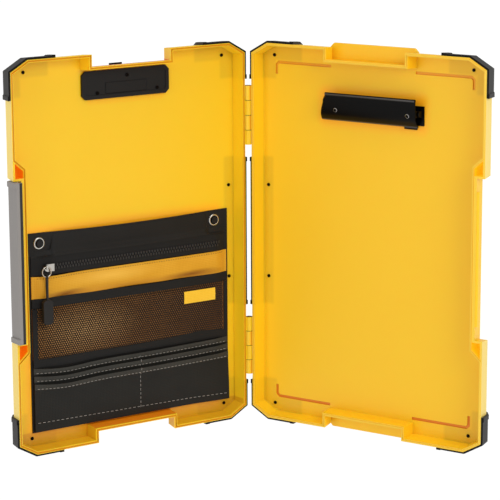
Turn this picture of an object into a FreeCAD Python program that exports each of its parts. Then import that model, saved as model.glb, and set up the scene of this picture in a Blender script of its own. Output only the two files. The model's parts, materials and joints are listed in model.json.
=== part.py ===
import FreeCAD, Part
import math
import os

os.makedirs("parts", exist_ok=True)
Vec = FreeCAD.Vector

# Every half is drawn in its own frame: x runs away from the hinge, y into the half's depth, z up.

# Outline of one half at its rim
half_height = 402.0
hinge_edge = 3.8
outer_edge = 278.0
corner_run = 19.4
corner_rise = 11.2
notch_wide = 92.0
notch_shift = 0.4
notch_depth = 12.6
recess_span = 165.0
recess_drop = 0.5
recess_depth = 8.7
seal_depth = 11.2
half_middle = half_height / 2
notch_mid = (hinge_edge + outer_edge) / 2 - notch_shift
notch_near = notch_mid - notch_wide / 2
notch_far = notch_mid + notch_wide / 2
recess_low = half_middle - recess_drop - recess_span / 2
recess_high = half_middle - recess_drop + recess_span / 2
jog_near = 10.0
jog_far = 20.0

# Depth of one half
rim_gap = 0.2
half_depth = 21.0
plate_thick = 3.0
wall_thick = 3.0
bevel_start = 15.0
wall_draft = 1.4
bevel_run = 5.0
floor_depth = half_depth - plate_thick
pocket_floor = 13.0
pocket_wall = 2.2
pocket_inset = 11.7
overrun = 4.0

# Rim seal
tongue_inset = 1.1
tongue_wide = 0.8
tongue_high = 0.75
groove_inset = 0.7
groove_wide = 1.6
groove_deep = 1.2

# Finger plate of the base
plate_reach = 2.6
plate_side = 5.0
plate_corner = 4.0
plate_lap = 10.0

# Paper corner grooves
paper_near_margin = 20.4
paper_far_margin = 22.8
paper_low = 20.6
paper_high_margin = 21.6
paper_near = hinge_edge + paper_near_margin
paper_far = outer_edge - paper_far_margin
paper_high = half_height - paper_high_margin
paper_groove_wide = 3.0
paper_groove_deep = 1.3
paper_arm_long = 66.0
paper_arm_short = 12.5
paper_arm_radius = 2.6

# Hinges
knuckle_radius = 3.4
hinge_pin_radius = 1.25
running_clearance = 0.06
knuckle_gap = 0.5
hinge_margin = 45.6
hinge_run = 62.8
upper_hinge_top = half_height - hinge_margin
upper_hinge_foot = upper_hinge_top - hinge_run
knuckle_count = 4
pin_inset = 0.6
web_lap = 0.5

# Guards
guard_thick = 2.1
guard_front = 1.0
guard_band = 19.5
guard_top_arm = 51.0
guard_side_arm = 39.0
bead_high = 0.9
bead_wide = 4.6
guard_bevel_share = 0.55
spine_span = 158.8
spine_low = half_middle - spine_span / 2
spine_high = half_middle + spine_span / 2
spine_band = 15.5
foot_level = 2.6

# Guard screws
screw_near_margin = 17.8
screw_far_margin = 23.0
screw_low = 12.2
screw_high_margin = 14.4
spine_screw_margin = 10.0
spine_screw_drop = 50.0
spine_screw_lift = 48.6
screw_near = hinge_edge + screw_near_margin
screw_far = outer_edge - screw_far_margin
screw_high = half_height - screw_high_margin
spine_screw_u = hinge_edge + spine_screw_margin
spine_screw_low = half_middle - spine_screw_drop
spine_screw_high = half_middle + spine_screw_lift
small_sides = 12
screw_head_radius = 1.8
screw_head_high = 1.3
screw_shank_radius = 1.2
screw_bite = 1.4

# Latch
latch_pivot_margin = 5.6
latch_pivot_y = 9.6
latch_barrel_radius = 3.0
latch_pin_radius = 1.2
latch_pin_reach = 5.4
latch_thick = 3.9
latch_front = -6.7
latch_back = 12.2
latch_soft = 0.8
latch_end_gap = 0.6
hook_margin = 6.3
hook_clearance = 0.5
hook_deep = 2.4
latch_bead_out = 1.6
latch_bead_wide = 5.4
latch_bead_end = 1.4
catch_front = 0.6
catch_back = 3.4
catch_margin = 14.0
catch_ramp = 1.6
latch_pivot_u = outer_edge - latch_pivot_margin
hook_tip = outer_edge - hook_margin
catch_tip = hook_tip - hook_clearance

# Paper clip on the base floor
clip_mid = 142.0
clip_plate_wide = 116.0
clip_plate_thick = 1.2
clip_plate_drop = 12.5
clip_plate_lift = 7.5
clip_lever_wide = 108.0
clip_sheet = 1.2
clip_pivot_margin = 62.5
clip_pivot_h = 6.0
clip_pin_radius = 1.25
clip_ear_thick = 1.4
clip_ear_round = 3.0
clip_ear_gap = 0.8
clip_ear_half = 4.4
clip_jaw_drop = 15.3
clip_jaw_h = 1.3
clip_lip_drop = 12.9
clip_lip_h = 4.4
clip_knee_drop = 6.5
clip_knee_h = 9.9
clip_back_lift = 5.5
clip_back_h = 12.6
clip_roll_lift = 12.5
clip_roll_h = 12.6
clip_roll_radius = 1.7
clip_tab_wide = 15.0
clip_tab_drop = 3.4
clip_slot_wide = 5.0
clip_slot_high = 2.2
clip_rivet_offset = 44.0
clip_rivet_lift = 4.1
clip_rivet_head = 2.6
clip_rivet_rise = 1.0
clip_rivet_shank = 1.4
clip_hole_radius = 2.9
clip_hole_shift = 7.0
spring_wire_radius = 0.55
spring_coil_radius = 1.85
spring_pitch = 2.3
spring_turns = 3
spring_leg_out = 3.7
spring_steps = 14
wire_sides = 6
clip_pivot_v = half_height - clip_pivot_margin
clip_plate_low = clip_pivot_v - clip_plate_drop
clip_plate_high = clip_pivot_v + clip_plate_lift
clip_rivet_v = clip_pivot_v + clip_rivet_lift

# Outer clip on the cover's outside face
outer_clip_mid = 140.0
outer_plate_wide = 96.0
outer_plate_drop = 15.0
outer_plate_lift = 12.0
outer_lever_wide = 64.0
outer_pivot_margin = 33.0
outer_jaw_drop = 20.0
outer_lip_drop = 17.6
outer_knee_drop = 9.5
outer_back_lift = 6.0
outer_roll_lift = 12.0
outer_tab_wide = 15.0
outer_tab_reach = 6.1
outer_tab_lap = 4.0
outer_pivot_v = half_height - outer_pivot_margin
outer_plate_low = outer_pivot_v - outer_plate_drop
outer_plate_high = outer_pivot_v + outer_plate_lift
outer_roll_v = outer_pivot_v + outer_roll_lift

# Backing plate inside the cover
backing_wide = 102.6
backing_tall = 28.8
backing_shift = 1.3
backing_drop = 14.8
backing_thick = 2.0
backing_corner = 4.0
backing_frame = 4.0
backing_frame_high = 0.7
backing_screw_shares = ((0.137, 0.222), (0.483, 0.764), (0.825, 0.208))
backing_near = outer_clip_mid - backing_shift - backing_wide / 2
backing_far = backing_near + backing_wide
backing_low = outer_pivot_v - backing_drop
backing_high = backing_low + backing_tall

# Fabric organiser on the cover floor
panel_near_margin = 12.7
panel_far_margin = 23.5
panel_gap = 0.6
panel_high = 225.0
panel_thick = 1.2
panel_corner = 2.0
panel_near = hinge_edge + panel_near_margin
panel_far = outer_edge - panel_far_margin
panel_low = notch_depth + wall_thick + wall_draft + panel_gap
grommet_near_margin = 16.9
grommet_far_margin = 12.1
grommet_drop = 10.8
grommet_outer = 6.3
grommet_inner = 4.6
grommet_rise = 1.3
grommet_bevel = 0.6
grommet_near = panel_near + grommet_near_margin
grommet_far = panel_far - grommet_far_margin
grommet_v = panel_high - grommet_drop
peg_radius = 2.4
peg_head_radius = 3.6
peg_head_high = 1.0
peg_gap = 0.3
sheet_thick = 1.0
hem_flat = 3.0
side_taper = 14.0
side_inset = 2.0
taper_steps = 3
seam_gap = 0.6
band_margin = 2.0
band_tall = 22.6
band_rise = 2.6
band_cut = 25.0
band_top = panel_high - band_margin
band_foot = band_top - band_tall
tape_tall = 18.2
tape_rise = 3.0
tape_top = band_foot - seam_gap
tape_foot = tape_top - tape_tall
teeth_lift = 7.8
teeth_wide = 3.2
teeth_rise = 1.3
teeth_margin = 9.0
teeth_v = tape_foot + teeth_lift
pouch_tall = 23.8
pouch_rise = 2.4
pouch_bulge = 3.4
pouch_steps = 5
pouch_top = tape_foot - seam_gap
pouch_foot = pouch_top - pouch_tall
binding_tall = 9.0
binding_rise = 1.9
binding_thick = 1.5
binding_top = pouch_foot - seam_gap
binding_foot = binding_top - binding_tall
mesh_tall = 52.8
mesh_thick = 0.8
lining_thick = 0.6
mesh_columns = 24
mesh_rows = 5
mesh_strand = 1.4
mesh_border = 3.0
mesh_top = binding_foot - seam_gap
mesh_foot = mesh_top - mesh_tall
mesh_binding_tall = 7.0
mesh_binding_top = mesh_foot - seam_gap
mesh_binding_foot = mesh_binding_top - mesh_binding_tall
pocket_margin = 1.0
pocket_sheet = 0.9
pocket_middle_drop = 8.0
pocket_front_drop = 16.4
pocket_top = mesh_binding_foot - seam_gap
pocket_foot = panel_low + pocket_margin
label_margin = 16.9
label_wide = 38.6
label_tall = 13.0
label_drop = 5.4
label_thick = 0.6
label_near = panel_near + label_margin
label_far = label_near + label_wide
label_high = mesh_top - label_drop
label_low = label_high - label_tall

# Zip slider and pull
slider_margin = 19.5
slider_long = 11.0
slider_wide = 7.6
slider_high = 2.4
slider_gap = 0.35
slider_nose = 2.6
slider_nose_share = 0.5
eye_wide = 2.0
eye_high = 3.4
eye_tall = 4.2
eye_bore = 1.3
ring_radius = 5.0
ring_wire = 0.7
pull_h = 9.8
ring_drop = 3.4
cord_radius = 0.8
cord_gap = 0.1
cord_drop = 29.0
cord_foot_half = 0.95
pull_shift = 4.4
pull_tab_wide = 11.0
pull_tab_high = 25.0
pull_tab_thick = 4.5
pull_tab_corner = 2.4
pull_tab_lap = 4.0
slider_u = panel_far - slider_margin
pull_u = slider_u + pull_shift
ring_v = teeth_v - ring_drop
cord_foot = ring_v - cord_drop

# Pose of the cover at rest
cover_from_flat = 67.0


def box(u_a, u_b, y_a, y_b, v_a, v_b):
    corner = Vec(min(u_a, u_b), min(y_a, y_b), min(v_a, v_b))
    return Part.makeBox(abs(u_b - u_a), abs(y_b - y_a), abs(v_b - v_a), corner)


def rod_up(u, y, v_a, v_b, radius):
    return Part.makeCylinder(radius, v_b - v_a, Vec(u, y, v_a), Vec(0, 0, 1))


def rod_deep(u, v, y_a, y_b, radius):
    return Part.makeCylinder(radius, y_b - y_a, Vec(u, y_a, v), Vec(0, 1, 0))


def stud(u, v, y_a, y_b, radius):
    turns = [2 * math.pi * i / small_sides for i in range(small_sides)]
    return prism([(u + radius * math.cos(t), v + radius * math.sin(t)) for t in turns], y_a, y_b)


def wire_section(middle, radius, along, across):
    side = along.cross(across)
    corners = []
    for i in range(wire_sides):
        turn = 2 * math.pi * i / wire_sides
        corners.append(middle + across * (radius * math.cos(turn)) + side * (radius * math.sin(turn)))
    return Part.makePolygon(corners + corners[:1])


def rod_across(y, v, u_a, u_b, radius):
    return Part.makeCylinder(radius, u_b - u_a, Vec(u_a, y, v), Vec(1, 0, 0))


def ring_of(points, y):
    corners = [Vec(u, y, v) for u, v in points]
    return Part.makePolygon(corners + corners[:1])


def prism(points, y_a, y_b):
    return Part.Face(ring_of(points, y_a)).extrude(Vec(0, y_b - y_a, 0))


def bar_across(points, u_a, u_b):
    corners = [Vec(u_a, y, v) for v, y in points]
    return Part.Face(Part.makePolygon(corners + corners[:1])).extrude(Vec(u_b - u_a, 0, 0))


def solid_from(faces):
    solid = Part.makeSolid(Part.makeShell(faces))
    if solid.Volume < 0:
        solid.reverse()
    return solid


def stack(sections):
    faces = [Part.Face(ring_of(*sections[0])), Part.Face(ring_of(*sections[-1]))]
    for (low, y_a), (high, y_b) in zip(sections, sections[1:]):
        for i in range(len(low)):
            k = (i + 1) % len(low)
            quad = [Vec(low[i][0], y_a, low[i][1]), Vec(low[k][0], y_a, low[k][1]),
                    Vec(high[k][0], y_b, high[k][1]), Vec(high[i][0], y_b, high[i][1])]
            faces.append(Part.Face(Part.makePolygon(quad + quad[:1])))
    return solid_from(faces)


def unit(a, b):
    run = math.hypot(b[0] - a[0], b[1] - a[1])
    return (b[0] - a[0]) / run, (b[1] - a[1]) / run


def inset(points, distance):
    moved = []
    for i, here in enumerate(points):
        ahead = points[(i + 1) % len(points)]
        d_in = unit(points[i - 1], here)
        d_out = unit(here, ahead)
        n_u = -d_in[1] - d_out[1]
        n_v = d_in[0] + d_out[0]
        share = distance / (1 + d_in[0] * d_out[0] + d_in[1] * d_out[1])
        moved.append((here[0] + n_u * share, here[1] + n_v * share))
    return moved


def ribbon(path, thick):
    half = thick / 2
    left, right = [], []
    for i, here in enumerate(path):
        d_in = unit(path[max(i - 1, 0)], path[max(i, 1)])
        d_out = unit(path[min(i, len(path) - 2)], path[min(i + 1, len(path) - 1)])
        share = half / (1 + d_in[0] * d_out[0] + d_in[1] * d_out[1])
        n_a = (-d_in[1] - d_out[1]) * share
        n_b = (d_in[0] + d_out[0]) * share
        left.append((here[0] + n_a, here[1] + n_b))
        right.append((here[0] - n_a, here[1] - n_b))
    return left + right[::-1]


def joined(shapes):
    whole = shapes[0]
    for piece in shapes[1:]:
        whole = whole.fuse(piece)
    return whole.removeSplitter()


def rim_outline(near_jog, far_jog, depth):
    u_b, v_b = outer_edge, half_height
    return [
        (hinge_edge, corner_rise), (hinge_edge + corner_run, 0),
        (notch_near, 0), (notch_near, notch_depth), (notch_far, notch_depth), (notch_far, 0),
        (u_b - corner_run, 0), (u_b, corner_rise),
        (u_b, recess_low - far_jog), (u_b - depth, recess_low - near_jog),
        (u_b - depth, recess_high + near_jog), (u_b, recess_high + far_jog),
        (u_b, v_b - corner_rise), (u_b - corner_run, v_b),
        (notch_far, v_b), (notch_far, v_b - notch_depth),
        (notch_near, v_b - notch_depth), (notch_near, v_b),
        (hinge_edge + corner_run, v_b), (hinge_edge, v_b - corner_rise),
    ]


outer_line = rim_outline(0, 0, recess_depth)
seal_line = rim_outline(jog_near, jog_far, seal_depth)


def envelope(grow, front, back):
    bevel = wall_draft + bevel_run - grow * guard_bevel_share
    return stack([
        (inset(outer_line, -grow), front),
        (inset(outer_line, wall_draft - grow), bevel_start),
        (inset(outer_line, bevel), back),
    ])


def end_pocket(v_wall, v_near, v_far, way):
    u_in = outer_edge - pocket_inset
    u_out = outer_edge - pocket_wall
    u_jog = outer_edge - seal_depth
    slope = (v_far - v_near) / seal_depth
    corners = [
        (u_in, v_wall), (u_out, v_wall),
        (u_out, v_near + slope * (u_out - u_jog)), (u_in, v_near + slope * (u_in - u_jog)),
    ]
    return prism(corners[::way], rim_gap - overrun, pocket_floor)


def half_shell():
    body = envelope(0, rim_gap, half_depth)
    cavity = stack([
        (inset(seal_line, wall_thick), rim_gap - overrun),
        (inset(seal_line, wall_thick), rim_gap),
        (inset(seal_line, wall_thick + wall_draft), floor_depth),
    ])
    body = body.cut(cavity)
    high = end_pocket(recess_high + pocket_wall, recess_high + jog_near, recess_high + jog_far, 1)
    low = end_pocket(recess_low - pocket_wall, recess_low - jog_near, recess_low - jog_far, -1)
    return body.cut(high).cut(low)


def knuckle_spans():
    step = (upper_hinge_top - upper_hinge_foot) / knuckle_count
    upper, lower = [], []
    for i in range(knuckle_count):
        top = upper_hinge_top - step * i
        upper.append((top - step + knuckle_gap / 2, top - knuckle_gap / 2))
        lower.append((half_height - top + knuckle_gap / 2, half_height - top + step - knuckle_gap / 2))
    return upper, lower


def with_knuckles(shell, first, hole_radius):
    upper, lower = knuckle_spans()
    for v_a, v_b in upper[first::2] + lower[first::2]:
        web = box(0, hinge_edge + web_lap, rim_gap, knuckle_radius, v_a, v_b)
        shell = shell.fuse(rod_up(0, 0, v_a, v_b, knuckle_radius).fuse(web))
    for foot in (upper_hinge_foot, half_height - upper_hinge_top):
        run = upper_hinge_top - upper_hinge_foot
        shell = shell.cut(rod_up(0, 0, foot - overrun, foot + run + overrun, hole_radius))
    return shell


def screw_points():
    return [
        (screw_near, screw_low), (screw_far, screw_low), (screw_near, screw_high),
        (screw_far, screw_high), (spine_screw_u, spine_screw_low), (spine_screw_u, spine_screw_high),
    ]


def guard_screws():
    screws = []
    for u, v in screw_points():
        head = stud(u, v, floor_depth - screw_head_high, floor_depth, screw_head_radius)
        shank = stud(u, v, floor_depth, half_depth + screw_bite, screw_shank_radius)
        screws.append(head.fuse(shank).removeSplitter())
    return Part.makeCompound(screws)


def screw_bores():
    return [stud(u, v, 0, half_depth + screw_bite, screw_shank_radius) for u, v in screw_points()]


def guard_region(regions):
    body = envelope(0, rim_gap, half_depth)
    skin = envelope(guard_thick, guard_front, half_depth + guard_thick)
    proud = envelope(guard_thick + bead_high, guard_front, half_depth + guard_thick + bead_high)
    pieces = []
    for region, beads in regions:
        far_y = half_depth + overrun
        pieces.append(skin.common(box(*region[:2], -overrun, far_y, *region[2:])))
        for bead in beads:
            pieces.append(proud.common(box(*bead[:2], -overrun, far_y, *bead[2:])))
    guard = joined(pieces).cut(body)
    for bore in screw_bores():
        guard = guard.cut(bore)
    below = box(-overrun, outer_edge + overrun, 0, half_depth + overrun, -foot_level - overrun, -foot_level)
    return guard.cut(below).removeSplitter()


def corner_guard(at_hinge, at_top):
    u_c = hinge_edge if at_hinge else outer_edge
    v_c = half_height if at_top else 0
    u_way = 1 if at_hinge else -1
    v_way = -1 if at_top else 1
    u_out = u_c - u_way * overrun
    v_out = v_c - v_way * overrun
    u_arm = u_c + u_way * guard_top_arm
    v_arm = v_c + v_way * guard_side_arm
    u_band = u_c + u_way * guard_band
    v_band = v_c + v_way * guard_band
    along = (u_out, u_arm, v_out, v_band)
    along_bead = (u_arm - u_way * bead_wide, u_arm, v_out, v_band)
    beside = (u_out, u_band, v_out, v_arm)
    beside_bead = (u_out, u_band, v_arm - v_way * bead_wide, v_arm)
    return guard_region([(along, [along_bead]), (beside, [beside_bead])])


def spine_bumper():
    u_out = hinge_edge - overrun
    u_in = hinge_edge + spine_band
    region = (u_out, u_in, spine_low, spine_high)
    foot = (u_out, u_in, spine_low, spine_low + bead_wide)
    head = (u_out, u_in, spine_high - bead_wide, spine_high)
    return guard_region([(region, [foot, head])])


def half_guards(prefix):
    return {
        prefix + "_guard_hinge_top": corner_guard(True, True),
        prefix + "_guard_hinge_bottom": corner_guard(True, False),
        prefix + "_guard_outer_top": corner_guard(False, True),
        prefix + "_guard_outer_bottom": corner_guard(False, False),
        prefix + "_spine_bumper": spine_bumper(),
    }


def rim_loop(from_inset, wide, y_a, y_b):
    outside = prism(inset(seal_line, from_inset), y_a, y_b)
    return outside.cut(prism(inset(seal_line, from_inset + wide), y_a, y_b))


def paper_corner(u, v, u_way, v_way):
    wide = paper_groove_wide
    path = [
        (u + u_way * paper_arm_long, v), (u + u_way * paper_arm_radius, v),
        (u, v + v_way * paper_arm_radius), (u, v + v_way * paper_arm_short),
    ]
    line = ribbon(path, wide)
    return prism(line, floor_depth - overrun, floor_depth + paper_groove_deep)


def finger_plate(v_in, v_out, v_corner):
    u_a = notch_near - plate_side
    u_b = notch_far + plate_side
    corners = [
        (u_a, v_in), (u_b, v_in), (u_b, v_corner), (u_b - plate_corner, v_out),
        (u_a + plate_corner, v_out), (u_a, v_corner),
    ]
    return prism(corners, floor_depth, half_depth)


def catch_rib():
    u_wall = outer_edge - recess_depth - wall_draft
    corners = [
        (u_wall, catch_front), (catch_tip - catch_ramp, catch_front),
        (catch_tip, catch_front + catch_ramp), (catch_tip, catch_back), (u_wall, catch_back),
    ]
    foot = recess_low + catch_margin
    ring = [Vec(u, y, foot) for u, y in corners]
    face = Part.Face(Part.makePolygon(ring + ring[:1]))
    return face.extrude(Vec(0, 0, recess_high - catch_margin - foot))


def base_shell():
    shell = half_shell()
    top = half_height
    shell = shell.fuse(finger_plate(top - notch_depth - plate_lap, top + plate_reach,
                                    top + plate_reach - plate_corner))
    shell = shell.fuse(finger_plate(notch_depth + plate_lap, -plate_reach, plate_corner - plate_reach))
    shell = shell.fuse(rim_loop(tongue_inset, tongue_wide, rim_gap - tongue_high, rim_gap + tongue_high))
    shell = shell.fuse(catch_rib())
    for u, u_way in ((paper_near, 1), (paper_far, -1)):
        for v, v_way in ((paper_low, 1), (paper_high, -1)):
            shell = shell.cut(paper_corner(u, v, u_way, v_way))
    shell = with_knuckles(shell, 0, hinge_pin_radius)
    for bore in screw_bores():
        shell = shell.cut(bore)
    for u in rivet_points():
        shell = shell.cut(stud(u, clip_rivet_v, 0, half_depth, clip_rivet_shank))
    return shell.removeSplitter()


def latch_rod(radius):
    return rod_up(latch_pivot_u, latch_pivot_y, recess_low - wall_thick - latch_pin_reach,
                  recess_high + wall_thick + latch_pin_reach, radius)


def backing_screws():
    shares_of = backing_screw_shares
    return [(backing_near + backing_wide * s, backing_low + backing_tall * t) for s, t in shares_of]


def peg_points():
    return ((grommet_near, grommet_v), (grommet_far, grommet_v))


def cover_shell():
    shell = half_shell()
    shell = shell.cut(rim_loop(groove_inset, groove_wide, rim_gap - overrun, rim_gap + groove_deep))
    shell = with_knuckles(shell, 1, hinge_pin_radius + running_clearance)
    shell = shell.cut(latch_rod(latch_pin_radius))
    for bore in screw_bores():
        shell = shell.cut(bore)
    for u, v in backing_screws():
        shell = shell.cut(stud(u, v, 0, half_depth, screw_shank_radius))
    for u, v in peg_points():
        shell = shell.cut(stud(u, v, 0, half_depth - screw_bite, screw_shank_radius))
    return shell.removeSplitter()


def latch_bar():
    foot = recess_low + latch_end_gap
    high = recess_high - latch_end_gap
    inner = outer_edge - latch_thick
    soft = latch_soft
    corners = [
        (outer_edge - soft, latch_front), (outer_edge, latch_front + soft),
        (outer_edge, latch_back - soft), (outer_edge - soft, latch_back),
        (latch_pivot_u, latch_back), (inner, latch_pivot_y - latch_barrel_radius),
        (inner, latch_front + hook_deep), (hook_tip, latch_front + hook_deep), (hook_tip, latch_front),
    ]
    ring = [Vec(u, y, foot) for u, y in corners]
    bar = Part.Face(Part.makePolygon(ring + ring[:1])).extrude(Vec(0, 0, high - foot))
    bar = bar.fuse(rod_up(latch_pivot_u, latch_pivot_y, foot, high, latch_barrel_radius))
    bead_back = latch_back - latch_bead_end
    for v in (high - latch_bead_wide, foot):
        bar = bar.fuse(box(outer_edge - soft, outer_edge + latch_bead_out, latch_front, bead_back,
                           v, v + latch_bead_wide))
    return bar.cut(latch_rod(latch_pin_radius + running_clearance)).removeSplitter()


def rivet_points():
    return (clip_mid - clip_rivet_offset, clip_mid + clip_rivet_offset)


def height_to_depth(face_y, way, h):
    return face_y + way * h


def lever_sheet(face_y, way, mid, wide, path, jaw_tab, bore_v):
    line = [(v, height_to_depth(face_y, way, h)) for v, h in path]
    u_a = mid - wide / 2
    u_b = mid + wide / 2
    sheet = bar_across(ribbon(line, clip_sheet), u_a, u_b)
    roll_v, roll_y = line[-1]
    roll = rod_across(roll_y, roll_v, u_a, u_b, clip_roll_radius)
    sheet = sheet.fuse(roll)
    if jaw_tab:
        jaw = [line[0], line[1]]
        drop_v = line[0][0] - clip_tab_drop
        tab = [(drop_v, line[0][1]), jaw[0], jaw[1]]
        sheet = sheet.fuse(bar_across(ribbon(tab, clip_sheet), u_b - clip_tab_wide, u_b))
    pivot_y = height_to_depth(face_y, way, clip_pivot_h)
    for u in (u_a, u_b - clip_ear_thick):
        half = clip_ear_half
        top_y = height_to_depth(face_y, way, clip_knee_h)
        ear = [(bore_v - half, top_y), (bore_v + half, height_to_depth(face_y, way, clip_back_h)),
               (bore_v + clip_ear_round, pivot_y), (bore_v - clip_ear_round, pivot_y)]
        flange = bar_across(ear, u, u + clip_ear_thick)
        flange = flange.fuse(rod_across(pivot_y, bore_v, u, u + clip_ear_thick, clip_ear_round))
        sheet = sheet.fuse(flange)
    bore = rod_across(pivot_y, bore_v, u_a - overrun, u_b + overrun, clip_pin_radius + running_clearance)
    return sheet.cut(bore).removeSplitter()


def clip_plate(face_y, way, mid, plate_wide, lever_wide, v_low, v_high, bore_v):
    u_a = mid - plate_wide / 2
    u_b = mid + plate_wide / 2
    near_y = height_to_depth(face_y, way, clip_plate_thick)
    plate = box(u_a, u_b, face_y, near_y, v_low, v_high)
    pivot_y = height_to_depth(face_y, way, clip_pivot_h)
    ear_a = mid - lever_wide / 2 - clip_ear_gap - clip_ear_thick
    ear_b = mid + lever_wide / 2 + clip_ear_gap
    for u in (ear_a, ear_b):
        ear = [(bore_v - clip_ear_half, face_y), (bore_v + clip_ear_half, face_y),
               (bore_v + clip_ear_round, pivot_y), (bore_v - clip_ear_round, pivot_y)]
        plate = plate.fuse(bar_across(ear, u, u + clip_ear_thick))
        plate = plate.fuse(rod_across(pivot_y, bore_v, u, u + clip_ear_thick, clip_ear_round))
    bore = rod_across(pivot_y, bore_v, u_a - overrun, u_b + overrun, clip_pin_radius)
    return plate.cut(bore)


def clip_pin(face_y, way, mid, lever_wide, bore_v):
    reach = lever_wide / 2 + clip_ear_gap + clip_ear_thick
    pivot_y = height_to_depth(face_y, way, clip_pivot_h)
    return rod_across(pivot_y, bore_v, mid - reach, mid + reach, clip_pin_radius)


def tube_of(rings):
    faces = [Part.Face(Part.makePolygon(ring + ring[:1])) for ring in (rings[0], rings[-1])]
    for low, high in zip(rings, rings[1:]):
        for i in range(len(low)):
            k = (i + 1) % len(low)
            for three in ((low[i], low[k], high[k]), (low[i], high[k], high[i])):
                faces.append(Part.Face(Part.makePolygon([*three, three[0]])))
    return solid_from(faces)


def least_gap(middles, apart, wide):
    gaps = [(a - b).Length for i, a in enumerate(middles) for b in middles[i + apart:]]
    return min(gaps) - wide


def coil_spring(face_y, way, mid, bore_v):
    pivot_y = height_to_depth(face_y, way, clip_pivot_h)
    start_u = mid - spring_pitch * spring_turns / 2
    legs = (clip_pivot_h - clip_plate_thick, spring_leg_out)
    behind, ahead = legs if way > 0 else legs[::-1]
    stops = [(i / spring_steps, 0) for i in range(spring_turns * spring_steps + 1)]
    middles, rings = [], []
    for turn, run in [(0, -behind), *stops, (spring_turns, ahead)]:
        angle = 2 * math.pi * turn
        radial = Vec(0, math.sin(angle), -math.cos(angle))
        middle = Vec(start_u + spring_pitch * turn, pivot_y + run, bore_v) + radial * spring_coil_radius
        middles.append(middle)
        ring = []
        for i in range(wire_sides):
            around = 2 * math.pi * i / wire_sides
            out = radial * math.cos(around) + Vec(math.sin(around), 0, 0)
            ring.append(middle + out * spring_wire_radius)
        rings.append(ring)
    gap = least_gap(middles[1:-1], spring_steps // 2, 2 * spring_wire_radius)
    print("spring least gap to itself", round(gap, 3))
    return tube_of(rings)


def rivet_set():
    rivets = []
    for u in rivet_points():
        seat = floor_depth - clip_plate_thick
        head = stud(u, clip_rivet_v, seat - clip_rivet_rise, seat, clip_rivet_head)
        shank = stud(u, clip_rivet_v, seat, half_depth, clip_rivet_shank)
        rivets.append(head.fuse(shank).removeSplitter())
    return Part.makeCompound(rivets)


def inner_clip():
    path = [
        (clip_pivot_v - clip_jaw_drop, clip_jaw_h), (clip_pivot_v - clip_lip_drop, clip_lip_h),
        (clip_pivot_v - clip_knee_drop, clip_knee_h), (clip_pivot_v + clip_back_lift, clip_back_h),
        (clip_pivot_v + clip_roll_lift, clip_roll_h),
    ]
    lever = lever_sheet(floor_depth, -1, clip_mid, clip_lever_wide, path, True, clip_pivot_v)
    sheet_y = floor_depth - clip_back_h
    for u, way in zip(rivet_points(), (1, -1)):
        bore = stud(u, clip_rivet_v, sheet_y - overrun, sheet_y + overrun, clip_hole_radius)
        lever = lever.cut(bore)
        slot_u = u + way * clip_hole_shift
        half_u = clip_slot_wide / 2
        half_v = clip_slot_high / 2
        slot = box(slot_u - half_u, slot_u + half_u, sheet_y - overrun, sheet_y + overrun,
                   clip_rivet_v - half_v, clip_rivet_v + half_v)
        lever = lever.cut(slot)
    plate = clip_plate(floor_depth, -1, clip_mid, clip_plate_wide, clip_lever_wide,
                       clip_plate_low, clip_plate_high, clip_pivot_v)
    for u in rivet_points():
        plate = plate.cut(stud(u, clip_rivet_v, 0, half_depth, clip_rivet_shank))
    return {
        "clip_base_plate": plate.removeSplitter(),
        "clip_lever": lever.removeSplitter(),
        "clip_pivot_pin": clip_pin(floor_depth, -1, clip_mid, clip_lever_wide, clip_pivot_v),
        "clip_spring": coil_spring(floor_depth, -1, clip_mid, clip_pivot_v),
        "clip_rivets": rivet_set(),
    }


def outer_clip():
    path = [
        (outer_pivot_v - outer_jaw_drop, clip_jaw_h), (outer_pivot_v - outer_lip_drop, clip_lip_h),
        (outer_pivot_v - outer_knee_drop, clip_knee_h), (outer_pivot_v + outer_back_lift, clip_back_h),
        (outer_roll_v, clip_roll_h),
    ]
    lever = lever_sheet(half_depth, 1, outer_clip_mid, outer_lever_wide, path, False, outer_pivot_v)
    sheet_y = half_depth + clip_back_h
    half = outer_tab_wide / 2
    tab = box(outer_clip_mid - half, outer_clip_mid + half, sheet_y - clip_sheet / 2,
              sheet_y + clip_sheet / 2, outer_roll_v - outer_tab_lap, outer_roll_v + outer_tab_reach)
    plate = clip_plate(half_depth, 1, outer_clip_mid, outer_plate_wide, outer_lever_wide,
                       outer_plate_low, outer_plate_high, outer_pivot_v)
    for u, v in backing_screws():
        plate = plate.cut(stud(u, v, 0, half_depth + clip_plate_thick, screw_shank_radius))
    return {
        "outer_clip_base": plate.removeSplitter(),
        "outer_clip_lever": lever.fuse(tab).removeSplitter(),
        "outer_clip_pin": clip_pin(half_depth, 1, outer_clip_mid, outer_lever_wide, outer_pivot_v),
        "outer_clip_spring": coil_spring(half_depth, 1, outer_clip_mid, outer_pivot_v),
    }


def backing():
    a, b, low, high, cut = backing_near, backing_far, backing_low, backing_high, backing_corner
    corners = [
        (a + cut, low), (b - cut, low), (b, low + cut), (b, high - cut),
        (b - cut, high), (a + cut, high), (a, high - cut), (a, low + cut),
    ]
    seat = floor_depth - backing_thick
    plate = prism(corners, seat, floor_depth)
    raised = prism(corners, seat - backing_frame_high, seat)
    raised = raised.cut(prism(inset(corners, backing_frame), seat - backing_frame_high, seat))
    plate = plate.fuse(raised)
    screws = []
    for u, v in backing_screws():
        plate = plate.cut(stud(u, v, 0, floor_depth, screw_shank_radius))
        plate = plate.cut(stud(u, v, 0, seat, screw_head_radius))
        head = stud(u, v, seat - screw_head_high, seat, screw_head_radius)
        shank = stud(u, v, seat, half_depth + clip_plate_thick, screw_shank_radius)
        screws.append(head.fuse(shank).removeSplitter())
    return {"clip_backing_plate": plate.removeSplitter(), "backing_plate_screws": Part.makeCompound(screws)}


def shares(steps):
    return [i / steps for i in range(steps + 1)]


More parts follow.
